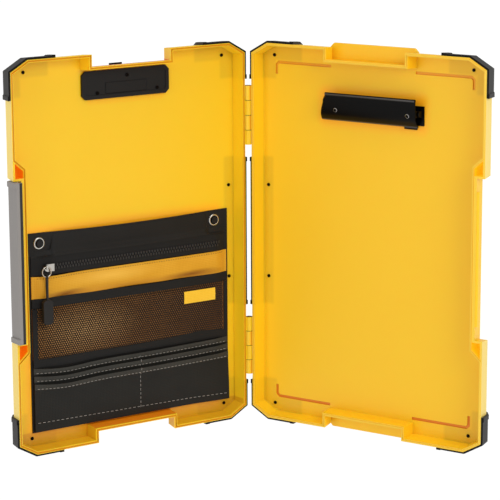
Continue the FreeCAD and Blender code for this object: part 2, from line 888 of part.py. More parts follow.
def draped(u_a, u_b, levels, thick, floor_h):
    columns = [(u_a, 0)]
    columns += [(u_a + hem_flat + side_taper * s, s) for s in shares(taper_steps)]
    columns += [(u_b - hem_flat - side_taper * s, s) for s in reversed(shares(taper_steps))]
    columns.append((u_b, 0))
    front, back = [], []
    for u, s in columns:
        ease = math.sin(s * math.pi / 2)
        front.append([])
        back.append([])
        for v, h in levels:
            low = floor_h + (h - floor_h) * ease
            back[-1].append(Vec(u, floor_depth - panel_thick - low, v))
            front[-1].append(Vec(u, floor_depth - panel_thick - low - thick, v))
    faces = []

    def patch(a, b, c, d):
        for three in ((a, b, c), (a, c, d)):
            faces.append(Part.Face(Part.makePolygon([*three, three[0]])))

    last_u = len(columns) - 1
    last_v = len(levels) - 1
    for i in range(last_u):
        for k in range(last_v):
            patch(front[i][k], front[i + 1][k], front[i + 1][k + 1], front[i][k + 1])
            patch(back[i][k], back[i][k + 1], back[i + 1][k + 1], back[i + 1][k])
        patch(front[i][0], back[i][0], back[i + 1][0], front[i + 1][0])
        patch(front[i][last_v], front[i + 1][last_v], back[i + 1][last_v], back[i][last_v])
    for k in range(last_v):
        patch(front[0][k], front[0][k + 1], back[0][k + 1], back[0][k])
        patch(front[last_u][k], back[last_u][k], back[last_u][k + 1], front[last_u][k + 1])
    return solid_from(faces)


def grommet_set():
    eyes = []
    for u, v in peg_points():
        seat = floor_depth - panel_thick
        eye = rod_deep(u, v, seat - grommet_rise, seat, grommet_outer)
        edge = [e for e in eye.Edges if abs(e.BoundBox.YMax - (seat - grommet_rise)) < grommet_rise / 2
                and isinstance(e.Curve, Part.Circle)]
        eye = eye.makeChamfer(grommet_bevel, edge)
        eye = eye.fuse(rod_deep(u, v, seat, floor_depth, grommet_inner + sheet_thick))
        eyes.append(eye.cut(rod_deep(u, v, 0, floor_depth, grommet_inner)).removeSplitter())
    return Part.makeCompound(eyes)


def peg_set():
    pegs = []
    for u, v in peg_points():
        seat = floor_depth - panel_thick - grommet_rise - peg_gap
        stem = stud(u, v, seat, floor_depth, peg_radius)
        head = stud(u, v, seat - peg_head_high, seat, peg_head_radius)
        foot = stud(u, v, floor_depth, half_depth - screw_bite, screw_shank_radius)
        pegs.append(head.fuse(stem).fuse(foot).removeSplitter())
    return Part.makeCompound(pegs)


def net_pocket():
    u_a = panel_near + side_inset
    u_b = panel_far - side_inset
    back_y = floor_depth - panel_thick - lining_thick
    net = [(u_a, mesh_foot), (u_b, mesh_foot), (u_b, mesh_top), (u_a, mesh_top)]
    rings = [ring_of(net, back_y)]
    run = (u_b - u_a - 2 * mesh_border + mesh_strand) / mesh_columns
    rise = (mesh_top - mesh_foot - 2 * mesh_border + mesh_strand) / mesh_rows
    for i in range(mesh_columns):
        for k in range(mesh_rows):
            u = u_a + mesh_border + run * i
            v = mesh_foot + mesh_border + rise * k
            gap = [(u, v), (u, v + rise - mesh_strand), (u + run - mesh_strand, v + rise - mesh_strand),
                   (u + run - mesh_strand, v)]
            rings.append(ring_of(gap, back_y))
    face = Part.Face(rings, "Part::FaceMakerBullseye")
    return face.extrude(Vec(0, -mesh_thick, 0))


def organiser():
    a, b, low, high, cut = panel_near, panel_far, panel_low, panel_high, panel_corner
    corners = [(a, low), (b, low), (b, high - cut), (b - cut, high), (a + cut, high), (a, high - cut)]
    panel = prism(corners, floor_depth - panel_thick, floor_depth)
    for u, v in peg_points():
        panel = panel.cut(rod_deep(u, v, 0, floor_depth, grommet_inner + sheet_thick))
    u_a = a + side_inset
    u_b = b - side_inset
    top_band = draped(u_a + band_cut, u_b - band_cut, [(band_foot, band_rise), (band_top, 0)], sheet_thick, 0)
    tape = draped(u_a, u_b, [(tape_foot, tape_rise), (tape_top, tape_rise)], sheet_thick, 0)
    seat = floor_depth - panel_thick - tape_rise - sheet_thick
    teeth = box(u_a + hem_flat + side_taper + teeth_margin, u_b - hem_flat - side_taper, seat - teeth_rise,
                seat, teeth_v - teeth_wide / 2, teeth_v + teeth_wide / 2)
    bulge = []
    for s in shares(pouch_steps):
        v = pouch_foot + (pouch_top - pouch_foot) * s
        bulge.append((v, pouch_rise + pouch_bulge * math.sin(math.pi * s)))
    pouch = draped(u_a, u_b, bulge, sheet_thick, 0)
    binding = draped(u_a, u_b, [(binding_foot, binding_rise), (binding_top, binding_rise)], binding_thick, 0)
    mesh_band = draped(u_a, u_b, [(mesh_binding_foot, 0), (mesh_binding_top, 0)], binding_thick, 0)
    lining = box(u_a, u_b, floor_depth - panel_thick - lining_thick, floor_depth - panel_thick,
                 mesh_foot, mesh_top)
    pockets = []
    for i, drop in enumerate((0, pocket_middle_drop, pocket_front_drop)):
        h = pocket_sheet * i
        top = pocket_top - drop
        pockets.append(draped(u_a, u_b, [(pocket_foot, h), (top, h)], pocket_sheet, h))
    label_seat = floor_depth - panel_thick - lining_thick - mesh_thick
    label = box(label_near, label_far, label_seat - label_thick, label_seat, label_low, label_high)
    return {
        "organiser_panel": panel, "organiser_grommets": grommet_set(), "organiser_pegs": peg_set(),
        "pouch_top_band": top_band, "zip_tape": tape, "zip_teeth": teeth, "pouch_front": pouch,
        "pouch_binding": binding, "mesh_lining": lining, "mesh_pocket": net_pocket(),
        "mesh_binding": mesh_band,
        "card_pocket_back": pockets[0], "card_pocket_middle": pockets[1], "card_pocket_front": pockets[2],
        "pocket_label": label,
    }, seat - teeth_rise


def zip_runner(teeth_top):
    top = teeth_top - slider_gap
    half_v = slider_wide / 2
    nose_v = half_v * slider_nose_share
    u_a = slider_u - slider_long / 2
    u_b = slider_u + slider_long / 2
    corners = [
        (u_a, teeth_v - half_v), (u_b - slider_nose, teeth_v - half_v), (u_b, teeth_v - nose_v),
        (u_b, teeth_v + nose_v), (u_b - slider_nose, teeth_v + half_v), (u_a, teeth_v + half_v),
    ]
    body = prism(corners, top - slider_high, top)
    pull_y = floor_depth - panel_thick - pull_h
    eye_v = ring_v + ring_radius
    eye = box(pull_u - eye_wide / 2, pull_u + eye_wide / 2, pull_y - eye_high / 2,
              top, eye_v - eye_tall / 2, eye_v + eye_tall / 2)
    body = body.fuse(eye)
    bore = rod_across(pull_y, eye_v, pull_u - eye_wide, pull_u + eye_wide, eye_bore)
    slider = body.cut(bore).removeSplitter()
    middle = Vec(pull_u, pull_y, ring_v)
    wire = wire_section(middle + Vec(ring_radius, 0, 0), ring_wire, Vec(0, 0, 1), Vec(1, 0, 0))
    ring = Part.Face(wire).revolve(middle, Vec(0, 1, 0), 360)
    return slider, ring, pull_y


def pull_cord(pull_y):
    bend = ring_wire + cord_radius + cord_gap
    wire_v = ring_v - ring_radius
    drop = wire_v - cord_foot
    lean = math.atan((bend - cord_foot_half) / drop)
    foot_v = cord_foot - pull_tab_lap

    def strand(way):
        high = Vec(pull_u, pull_y + way * bend * math.cos(lean), wire_v - bend * math.sin(lean))
        run = (high.z - foot_v) / math.cos(lean)
        low = Vec(pull_u, high.y - way * run * math.sin(lean), foot_v)
        return high, low

    near_high, near_low = strand(-1)
    far_high, far_low = strand(1)
    crown = Vec(pull_u, pull_y, wire_v + bend)
    path = Part.Wire([
        Part.LineSegment(near_low, near_high).toShape(),
        Part.Arc(near_high, crown, far_high).toShape(),
        Part.LineSegment(far_high, far_low).toShape(),
    ])
    along = (near_high - near_low).normalize()
    section = wire_section(near_low, cord_radius, along, Vec(1, 0, 0))
    return path.makePipeShell([section], True, True)


def pull_tab(pull_y, cord):
    half = pull_tab_wide / 2
    cut = pull_tab_corner
    high = cord_foot
    low = cord_foot - pull_tab_high
    corners = [
        (pull_u - half + cut, low), (pull_u + half - cut, low), (pull_u + half, low + cut),
        (pull_u + half, high - cut), (pull_u + half - cut, high), (pull_u - half + cut, high),
        (pull_u - half, high - cut), (pull_u - half, low + cut),
    ]
    tab = prism(corners, pull_y - pull_tab_thick / 2, pull_y + pull_tab_thick / 2)
    return tab.cut(cord)


def build():
    base = {"base_shell": base_shell(), "base_guard_screws": guard_screws()}
    base.update(half_guards("base"))
    low_foot = half_height - upper_hinge_top
    run = upper_hinge_top - upper_hinge_foot
    for name, foot in (("hinge_pin_upper", upper_hinge_foot), ("hinge_pin_lower", low_foot)):
        base[name] = rod_up(0, 0, foot + pin_inset, foot + run - pin_inset, hinge_pin_radius)
    base.update(inner_clip())
    cover = {"cover_shell": cover_shell(), "cover_guard_screws": guard_screws()}
    cover.update(half_guards("cover"))
    cover["latch_pin"] = latch_rod(latch_pin_radius)
    cover["latch_bar"] = latch_bar()
    cover.update(outer_clip())
    cover.update(backing())
    cloth, teeth_top = organiser()
    cover.update(cloth)
    slider, ring, pull_y = zip_runner(teeth_top)
    cord = pull_cord(pull_y)
    cover.update({"zip_slider": slider, "zip_pull_ring": ring, "zip_pull_cord": cord,
                  "zip_pull_tab": pull_tab(pull_y, cord)})
    nodes = dict(base)
    for name, shape in cover.items():
        placed = shape.mirror(Vec(0, 0, 0), Vec(1, 0, 0))
        placed.rotate(Vec(0, 0, 0), Vec(0, 0, 1), cover_from_flat)
        nodes[name] = placed
    return nodes


nodes = build()
bounds = FreeCAD.BoundBox()
for shape in nodes.values():
    bounds.add(shape.BoundBox)
shift = Vec(-bounds.Center.x, -bounds.Center.y, -bounds.ZMin)
for name, shape in nodes.items():
    shape.translate(shift)
    shape.exportStep("parts/" + name + ".step")
print("hinge axis at", round(shift.x, 4), round(shift.y, 4), "foot shift", round(shift.z, 4))
print("size", round(bounds.XLength, 2), round(bounds.YLength, 2), round(bounds.ZLength, 2))
for name, shape in nodes.items():
    print(name, "solids", len(shape.Solids), "valid", shape.isValid(), "volume", round(shape.Volume, 1))
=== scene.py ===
# %% [markdown]
# # An open storage clipboard
# Two moulded trays hang on one upright hinge like a book. The right one holds paper under a sprung
# clip, and the left one carries a sewn pocket organiser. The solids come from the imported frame, and
# this lesson gives them rounded edges, cloth, thread and finishes, without moving or resizing one.

# %% Load the frame
import json
import math
from functools import partial

import bpy
from mathutils import Matrix, Vector


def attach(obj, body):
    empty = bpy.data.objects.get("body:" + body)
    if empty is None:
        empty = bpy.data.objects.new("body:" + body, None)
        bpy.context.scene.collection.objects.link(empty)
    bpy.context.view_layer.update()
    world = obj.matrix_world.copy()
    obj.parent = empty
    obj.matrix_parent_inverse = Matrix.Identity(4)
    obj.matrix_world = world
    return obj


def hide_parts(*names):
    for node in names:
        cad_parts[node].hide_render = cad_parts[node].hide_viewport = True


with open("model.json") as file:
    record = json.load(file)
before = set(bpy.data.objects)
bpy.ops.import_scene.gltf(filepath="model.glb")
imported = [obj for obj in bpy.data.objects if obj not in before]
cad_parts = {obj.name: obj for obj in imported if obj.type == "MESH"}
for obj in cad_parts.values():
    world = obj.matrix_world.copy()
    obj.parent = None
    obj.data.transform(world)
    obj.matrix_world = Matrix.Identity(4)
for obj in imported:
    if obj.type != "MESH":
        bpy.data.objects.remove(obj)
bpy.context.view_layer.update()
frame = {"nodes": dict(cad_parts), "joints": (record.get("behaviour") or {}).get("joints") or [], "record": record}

# %% [markdown]
# ## Two local frames
# Every tray is easiest to think of lying flat: x across it, y into its depth and z up. The right
# tray, the base, already lies along x. The left one, the cover, is turned about the hinge by the angle
# that would lay it flat. So cover pieces are modelled in its own flat frame and turned once at the end.

# %% Local frames of the two trays
mm = 0.001


def in_mm(*values):
    """Lengths in metres from lengths in millimetres."""
    return tuple(value * mm for value in values)


joints = {joint["name"]: joint for joint in frame["joints"]}
hinge_x, hinge_y, _ = joints["cover_hinge"]["pos_m"]
from_flat = math.radians(-joints["cover_hinge"]["range_deg"][0])
foot_rise = 2.6 * mm
base_place = Matrix.Translation((hinge_x, hinge_y, foot_rise))
cover_place = base_place @ Matrix.Rotation(from_flat, 4, "Z")
body_of = {}
for body_name, members in frame["record"]["behaviour"]["bodies"].items():
    for member in members:
        body_of[member] = body_name


def place_of(node):
    """The local frame that a node was drawn in."""
    return base_place if body_of[node] in ("base", "clip_lever") else cover_place


tray_tall, tray_near, tray_far, floor_depth = in_mm(402.0, 3.8, 278.0, 18.0)
plate_face = floor_depth - 2.0 * mm
print("hinge at", round(hinge_x, 4), round(hinge_y, 4), "cover turned", round(math.degrees(from_flat), 1))

# %% [markdown]
# ## Small tools
# Operators act on what is selected, so `only` selects the pieces at hand. `settle` turns a piece from
# its flat local frame into the shared frame and applies the turn, which leaves its object at the origin.
# `dress` gives it a finish, the body that it rides on and the solid that it stands for, and `mark` gives
# some of its faces another finish. The rest are short names for steps that come up often.

# %% Small tools
def only(*pieces):
    """Select some pieces and nothing else, and make the first one active."""
    bpy.ops.object.select_all(action="DESELECT")
    for piece in pieces:
        piece.select_set(True)
    bpy.context.view_layer.objects.active = pieces[0]


def apply_place(*pieces):
    """Apply the place, turn and scale of some pieces."""
    only(*pieces)
    bpy.ops.object.transform_apply(location=True, rotation=True, scale=True)


def settle(piece, place):
    """Turn a finished piece from its tray's frame into the shared frame."""
    only(piece)
    piece.matrix_world = place @ piece.matrix_world
    bpy.ops.object.transform_apply(location=True, rotation=True, scale=True)
    return piece


def dress(piece, finish, node, replace=True):
    """Give a piece its finish and its body, and hide the solid that it stands for."""
    piece.data.materials.clear()
    piece.data.materials.append(finish)
    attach(piece, body_of[node])
    if replace:
        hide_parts(node)
    return piece


def mark(piece, finish, picks):
    """Give one more finish to the faces that a test picks."""
    piece.data.materials.append(finish)
    for face in piece.data.polygons:
        if picks(face):
            face.material_index = len(piece.data.materials) - 1


def shape_with(piece, kind, **settings):
    """Add a modifier with its settings and apply it."""
    only(piece)
    modifier = piece.modifiers.new(kind.lower(), kind)
    for name, value in settings.items():
        setattr(modifier, name, value)
    bpy.ops.object.modifier_apply(modifier=modifier.name)


def round_off(piece, width, segments, degrees=30):
    """Bevel the edges that are sharper than an angle."""
    shape_with(piece, "BEVEL", width=width, segments=segments, limit_method="ANGLE",
               angle_limit=math.radians(degrees))


def repeat(piece, count, shift):
    """Repeat a piece in a row, each a constant shift from the last."""
    shape_with(piece, "ARRAY", count=count, use_relative_offset=False, use_constant_offset=True,
               constant_offset_displace=shift)


def smooth(piece, degrees):
    """Shade a piece smooth, but for edges that are sharper than an angle."""
    only(piece)
    bpy.ops.object.shade_smooth_by_angle(angle=math.radians(degrees))


def block(size, location=(0, 0, 0), turn=0.0):
    """A box to shape further."""
    bpy.ops.mesh.primitive_cube_add(size=1.0, location=location, rotation=(0, 0, turn))
    piece = bpy.context.object
    piece.scale = size
    apply_place(piece)
    return piece


def drum(radius, depth, location=(0, 0, 0), rotation=(0, 0, 0), vertices=24):
    """A cylinder to shape further."""
    bpy.ops.mesh.primitive_cylinder_add(vertices=vertices, radius=radius, depth=depth, location=location,
                                        rotation=rotation)
    piece = bpy.context.object
    apply_place(piece)
    return piece


def merged(pieces, name):
    """Join several pieces into one and name it."""
    only(*pieces)
    bpy.ops.object.join()
    pieces[0].name = name
    return pieces[0]


def copy_of(piece):
    """A copy with a mesh of its own."""
    twin = piece.copy()
    twin.data = piece.data.copy()
    bpy.context.scene.collection.objects.link(twin)
    return twin


def placed(pattern, matrices, name):
    """Copies of a pattern, each with its own place and turn, joined into one piece."""
    copies = [copy_of(pattern) for _ in matrices]
    for twin, matrix in zip(copies, matrices):
        twin.matrix_world = matrix
    apply_place(*copies)
    return merged(copies, name)


def ease(share):
    """A smooth rise from 0 to 1."""
    share = max(0.0, min(1.0, share))
    return share * share * (3 - 2 * share)


# %% [markdown]
# ## Camera, light and floor
# A long lens stands a little over two metres away and a little above, as for a catalogue picture. Broad soft
# lamps and a white surround leave almost no shadow, which is how such a picture is lit.

# %% Camera
camera_place = (1.2184, -1.8550, 0.6877)
camera_turn = math.radians(33.24)
camera_dip = math.radians(12.07)
camera_roll = math.radians(-0.26)
bpy.ops.object.camera_add()
camera = bpy.context.object
camera.data.sensor_width = 36.0
camera.data.lens = 164.1
camera.data.dof.use_dof = False
look = Matrix.Rotation(camera_turn, 4, "Z") @ Matrix.Rotation(math.pi / 2 - camera_dip, 4, "X")
camera.matrix_world = Matrix.Translation(camera_place) @ look @ Matrix.Rotation(camera_roll, 4, "Z")
bpy.context.scene.camera = camera
bpy.context.scene.view_settings.view_transform = "Standard"

# %% Lamps and floor
def soft_lamp(name, place, target, wide, power):
    """A square area lamp that faces a point."""
    bpy.ops.object.light_add(type="AREA", location=place)
    lamp = bpy.context.object
    lamp.name = name
    lamp.data.size = wide
    lamp.data.energy = power
    lamp.rotation_euler = (Vector(target) - Vector(place)).to_track_quat("-Z", "Y").to_euler()


aim = (0.0, 0.0, 0.2)
soft_lamp("key_lamp", (-0.6, -2.4, 0.9), aim, 1.2, 12)
soft_lamp("side_lamp", (2.3, -0.9, 1.5), aim, 1.2, 27)
soft_lamp("top_lamp", (0.3, -0.2, 2.6), aim, 1.4, 17)
world = bpy.data.worlds.new("white_surround")
bpy.context.scene.world = world
world.use_nodes = True
surround = world.node_tree.nodes["Background"].inputs
surround["Color"].default_value = (1.0, 1.0, 1.0, 1.0)
surround["Strength"].default_value = 0.5
floor_size = 60.0
bpy.ops.mesh.primitive_plane_add(size=floor_size, location=(0, 0, -0.0004))
floor = bpy.context.object
floor.name = "pale_floor"

# %% [markdown]
# ## Finishes
# A finish starts from what the real surface is: a moulded resin, a rubber, a woven nylon. Colours are
# written as hex values and turned to linear light by `linear`. `add` adds a node, sets it and links it,
# so each finish below reads as a short list of nodes.

# %% Colour and node helpers
def linear(hex_value):
    """An sRGB hex value as linear red, green, blue and alpha."""
    parts = [int(hex_value[i:i + 2], 16) / 255 for i in (1, 3, 5)]
    return [c / 12.92 if c <= 0.04045 else ((c + 0.055) / 1.055) ** 2.4 for c in parts] + [1.0]


def feed(tree, node, inputs):
    """Set inputs of a node to values, or link sockets to them."""
    for name, value in inputs.items():
        if isinstance(value, bpy.types.NodeSocket):
            tree.links.new(value, node.inputs[name])
        else:
            node.inputs[name].default_value = value


def add(tree, kind, inputs=None, **settings):
    """Add a node, set its properties, and set or link its inputs."""
    node = tree.nodes.new("ShaderNode" + kind)
    for name, value in settings.items():
        setattr(node, name, value)
    feed(tree, node, inputs or {})
    return node


def new_finish(name, rough, metal=0.0):
    """An empty finish with its main shader, ready for its nodes."""
    finish = bpy.data.materials.new(name)
    finish.use_nodes = True
    shader = finish.node_tree.nodes["Principled BSDF"]
    feed(finish.node_tree, shader, {"Roughness": rough, "Metallic": metal})
    return finish, finish.node_tree, shader


MIX_FACTOR, MIX_A, MIX_B, MIX_OUT = 0, 6, 7, 2


def blend_colours(tree, factor, first, second):
    """A colour mix; each colour is a socket or a linear colour."""
    inputs = {MIX_FACTOR: factor, MIX_A: first, MIX_B: second}
    return add(tree, "Mix", inputs, data_type="RGBA").outputs[MIX_OUT]


def grain(tree, shader, coords, grit, depth):
    """Fine bump from noise whose grains are about grit wide."""
    noise = add(tree, "TexNoise", {"Vector": coords, "Scale": 1 / grit, "Detail": 2.0})
    bump = add(tree, "Bump", {"Height": noise.outputs["Fac"], "Strength": 1.0, "Distance": depth})
    feed(tree, shader, {"Normal": bump.outputs["Normal"]})
    return noise


# %% [markdown]
# ### Yellow resin
# The trays are injection-moulded in a yellow resin that lets a little light through. Its face has a
# very fine spark grain and a soft shine. Where a black rubber guard sits behind the wall, its shadow seen
# through the resin is painted into the colour as a darker, a little green band, worked out from the
# guards' real sizes. A deeper orange is painted shade in the crevices, and on the floor beside the clip,
# the plate and the organiser's loose top. An emission paints a glow into the pockets, onto the walls
# and onto that floor. The foot of the cover, below the organiser, gets a browner painted shade.

# %% Yellow resin
guard_band, guard_arm_across, guard_arm_up, band_edge = in_mm(19.5, 51.0, 39.0, 2.2)
spine_band, spine_half = in_mm(15.5, 79.4)
recess_half = 82.5 * mm
recess_middle = tray_tall / 2 - 0.5 * mm
notch_near, notch_far = in_mm(94.5, 186.5)
organiser_box = in_mm(32, 252), in_mm(20, 222.5)
plate_box = in_mm(95, 179), in_mm(353.5, 380)
clip_box = in_mm(84, 196), in_mm(326, 351)
# Painted shade on the floor beside each box, for the cover, -1, and the base, 1. Each box has a reach
# and a strength. The foot of the cover, below the organiser's lower hem, also gets a painted shade.
shaded_boxes = {-1.0: ((organiser_box, 15 * mm, 0.7), (plate_box, 8 * mm, 0.45)),
                1.0: ((clip_box, 14 * mm, 0.7),)}
foot_shade = {-1.0: 0.45, 1.0: 0.0}
# Strengths of the painted shade on the notch ledges, in the latch pockets, and in the lower and upper paper-corner
# grooves.
ledge_shade = {-1.0: 0.85, 1.0: 0.08}
pocket_shade = {-1.0: 1.0, 1.0: 0.12}
lower_groove_shade, upper_groove_shade = 0.85, 0.5
# The strength of the guards' painted shadow through the resin, and how much of it fades on the walls.
guard_shadow_tint, guard_wall_fade = 0.26, 0.7
# Strengths of the painted glow, an emission, in the pockets, on the walls and on the floor beside the boxes.
pocket_glow, wall_glow, halo_glow = 0.3, 0.08, 0.12
# The colours of the painted shades.
resin_painted_shades = {"guard": "#B08C1C", "halo": "#F29A10", "foot": "#B0680C", "crevice": "#DE7408"}


def maths(tree, way, first, second=0.0):
    """One arithmetic step on numbers or sockets."""
    return add(tree, "Math", {0: first, 1: second}, operation=way).outputs[0]


def step_up(tree, value, limit, soft):
    """0 under a limit and 1 over it, with a soft edge."""
    inputs = {"Value": value, "From Min": limit - soft, "From Max": limit + soft}
    return add(tree, "MapRange", inputs, interpolation_type="SMOOTHSTEP").outputs["Result"]


def between(tree, value, low, high, soft):
    """1 between two limits, with soft edges."""
    over = step_up(tree, value, high, soft)
    return maths(tree, "SUBTRACT", step_up(tree, value, low, soft), over)


def all_of(tree, first, *more):
    """The product of several shares."""
    for share in more:
        first = maths(tree, "MULTIPLY", first, share)
    return first


def beside_box(tree, across, up, box, reach):
    """1 within a box seen from the front, fading to 0 at a reach from it."""
    (left, right), (foot, top) = box
    gaps = []
    for value, low, high in ((across, left, right), (up, foot, top)):
        off = maths(tree, "ABSOLUTE", maths(tree, "SUBTRACT", value, (low + high) / 2))
        gap = maths(tree, "MAXIMUM", maths(tree, "SUBTRACT", off, (high - low) / 2), 0.0)
        gaps.append(maths(tree, "POWER", gap, 2.0))
    away = maths(tree, "SQRT", maths(tree, "ADD", *gaps))
    return maths(tree, "SUBTRACT", 1.0, step_up(tree, away, reach / 2, reach / 2))


def tray_frame(tree, place):
    """Object coordinates, and their x, y and z in a tray's own flat frame."""
    coords = add(tree, "TexCoord").outputs["Object"]
    back = place.inverted()
    turned = add(tree, "Mapping", {"Vector": coords, "Location": back.translation,
                                   "Rotation": back.to_euler()})
    return coords, add(tree, "SeparateXYZ", {"Vector": turned.outputs["Vector"]}).outputs


def tray_zones(tree, place, way):
    """Object coordinates, the shares of each painted shade, and the strength of a painted glow."""
    minus, times, most, least, plus = [
        partial(maths, tree, way_of) for way_of in ("SUBTRACT", "MULTIPLY", "MAXIMUM", "MINIMUM", "ADD")]
    zone, product = partial(between, tree), partial(all_of, tree)
    coords, (x, deep, up) = tray_frame(tree, place)
    across = times(x, way)
    from_hinge = minus(across, tray_near)
    from_rim = minus(tray_far, across)
    near_side = least(from_hinge, from_rim)
    near_end = least(up, minus(tray_tall, up))
    from_middle = maths(tree, "ABSOLUTE", minus(up, recess_middle))
    below = -10 * mm
    crisp = 0.15 * mm
    # Painted shade: the shadow of the guards and the spine bumpers seen through the resin, as bands.
    along = product(zone(near_end, below, guard_band, band_edge),
                    zone(near_side, below, guard_arm_across, band_edge))
    beside = product(zone(near_side, below, guard_band, band_edge),
                     zone(near_end, below, guard_arm_up, band_edge))
    spine = product(zone(from_hinge, below, spine_band, band_edge),
                    zone(from_middle, below, spine_half, band_edge))
    wall = zone(deep, *in_mm(1.2, 16.0, 1.0))
    guard = product(most(most(along, beside), spine), minus(1.0, times(wall, guard_wall_fade)), guard_shadow_tint)
    # Painted shade in the latch pockets, on the notch ledges and in the paper-corner grooves, darker in the lower
    # grooves.
    pocket = product(zone(from_rim, *in_mm(2.0, 11.9), crisp), zone(deep, *in_mm(1.6, 13.6, 1.0)),
                     zone(from_middle, recess_half + 2.0 * mm, recess_half + 24 * mm, crisp))
    notch = product(zone(across, notch_near - 3.2 * mm, notch_far + 3.2 * mm, crisp),
                    zone(deep, *in_mm(2.0, 17.9, 1.2)), zone(near_end, *in_mm(12.4, 17.2), crisp))
    groove = product(step_up(tree, near_side, 15 * mm, crisp), step_up(tree, near_end, 15 * mm, crisp),
                     zone(deep, *in_mm(18.2, 20.2), crisp))
    fade = times(step_up(tree, up, tray_tall / 2, crisp), lower_groove_shade - upper_groove_shade)
    groove = product(groove, minus(lower_groove_shade, fade))
    crevice = most(most(times(notch, ledge_shade[way]), groove), times(pocket, pocket_shade[way]))
    on_floor = zone(deep, floor_depth - 2.0 * mm, floor_depth + 0.6 * mm, 0.4 * mm)
    # Painted shade on the floor beside each box, and at the foot of the cover.
    halo = 0.0
    for box, reach, strength in shaded_boxes[way]:
        halo = most(halo, product(beside_box(tree, across, up, box, reach), on_floor, strength))
    foot = product(zone(up, *in_mm(1.0, 18.0, 1.0)), zone(deep, *in_mm(2.0, 22, 1.0)), foot_shade[way])
    # Painted glow, as emission, in the pockets, on the walls and on the floor beside the boxes.
    glow = plus(plus(times(pocket, pocket_glow), times(wall, wall_glow)), times(halo, halo_glow))
    return coords, {"guard": guard, "halo": halo, "foot": foot, "crevice": crevice}, glow


def yellow_resin(name, place, way, dark, light):
    """The resin of one tray, with a little subsurface light, painted shades and a painted glow."""
    finish, tree, shader = new_finish(name, 0.36)
    coords, shares, glow = tray_zones(tree, place, way)
    cloud = add(tree, "TexNoise", {"Vector": coords, "Scale": 1 / (60 * mm), "Detail": 2.0})
    colour = blend_colours(tree, cloud.outputs["Fac"], linear(dark), linear(light))
    for zone, tint in resin_painted_shades.items():
        colour = blend_colours(tree, shares[zone], colour, linear(tint))
    feed(tree, shader, {"Base Color": colour, "Emission Color": colour, "Emission Strength": glow, "IOR": 1.5,
                        "Specular IOR Level": 0.35, "Subsurface Weight": 0.18, "Subsurface Scale": 1.0,
                        "Subsurface Radius": (4.0 * mm, 1.6 * mm, 0.3 * mm)})
    grain(tree, shader, coords, 0.7 * mm, 0.012 * mm)
    return finish


resin_base = yellow_resin("yellow_resin_base", base_place, 1.0, "#F0BE16", "#F2C21C")
resin_cover = yellow_resin("yellow_resin_cover", cover_place, -1.0, "#ECBE17", "#EFC31D")

# %% [markdown]
# ### Rubber, paint, metal and grey resin
# The guards are soft black moulded rubber. Their outer faces get a lighter grey as painted light, and
# their edges toward the rim stay black; the spine bumpers' faces beside the hinge gap get a darker painted
# shade. The clip is steel under gloss black paint, with a painted highlight on its roll and lip. The
# slider, ring and eyelets are plated, and the latch bar is a grey resin with a spark-eroded face. Four
# resins paint light and shade onto the trays: shade on the seal, light on the outer side walls, a
# highlight on the base's rim and shade on the knuckle ends.

# %% Plain finishes
patch_size = 26
rough_least, rough_most = 0.82, 1.18


def speckled(name, dark, light, rough, grit, depth, metal=0.0, shine=0.5):
    """A finish that drifts between two shades, with a grain whose size and depth are in millimetres."""
    finish, tree, shader = new_finish(name, rough, metal)
    coords = add(tree, "TexCoord").outputs["Object"]
    noise = grain(tree, shader, coords, grit * mm, depth * mm)
    patches = add(tree, "TexNoise", {"Vector": coords, "Scale": 1 / (grit * mm * patch_size), "Detail": 3.0})
    mixed = maths(tree, "MULTIPLY", maths(tree, "ADD", noise.outputs["Fac"], patches.outputs["Fac"]), 0.5)
    rough_map = add(tree, "MapRange", {"Value": patches.outputs["Fac"], "To Min": rough * rough_least,
                                       "To Max": min(1.0, rough * rough_most)})
    feed(tree, shader, {"Base Color": blend_colours(tree, mixed, linear(dark), linear(light)),
                        "Roughness": rough_map.outputs["Result"], "Specular IOR Level": shine})
    return finish


# Black rubber, and a lighter grey copy as painted light on the guards' outer faces; a darker copy is painted shade
# on the bumpers beside the hinge gap.
black_rubber = speckled("moulded_black_rubber", "#0B0A0A", "#141312", 0.66, 0.8, 0.03, shine=0.14)
lit_grey_rubber = speckled("painted_lit_grey_rubber", "#2B2928", "#3F3D3B", 0.62, 0.8, 0.03, shine=0.3)
shaded_gap_rubber = speckled("painted_shade_spine_rubber", "#060606", "#0C0B0B", 0.9, 0.8, 0.03, shine=0.0)
tab_rubber = speckled("moulded_dark_rubber", "#121110", "#1E1C1B", 0.6, 0.5, 0.03, shine=0.3)
black_paint = speckled("gloss_black_enamel", "#030303", "#060606", 0.3, 1.5, 0.004, shine=0.09)
# A lighter enamel, as a painted highlight on the lever's roll and lip.
highlight_enamel = speckled("painted_highlight_enamel", "#2E2C2A", "#4A4744", 0.34, 0.8, 0.004, shine=0.3)
grey_resin = speckled("grey_latch_resin", "#7F7A76", "#8E8985", 0.5, 0.7, 0.03)
black_resin = speckled("black_plate_resin", "#0A0909", "#121111", 0.5, 0.6, 0.02, shine=0.25)
zip_resin = speckled("black_zip_coil", "#201E1D", "#302D2B", 0.45, 0.5, 0.02, shine=0.3)
plated_zinc = speckled("plated_zinc", "#A29E97", "#C8C4BC", 0.24, 0.9, 0.008, metal=1.0)
screw_steel = speckled("blackened_screw_steel", "#0E0B0A", "#1E1917", 0.42, 0.4, 0.01, metal=1.0)
bright_steel = speckled("drawn_steel", "#8C8A87", "#A5A29E", 0.33, 0.5, 0.006, metal=1.0)
rivet_steel = speckled("polished_rivet_steel", "#C8C5C1", "#ECE9E5", 0.32, 0.6, 0.004, metal=0.55)
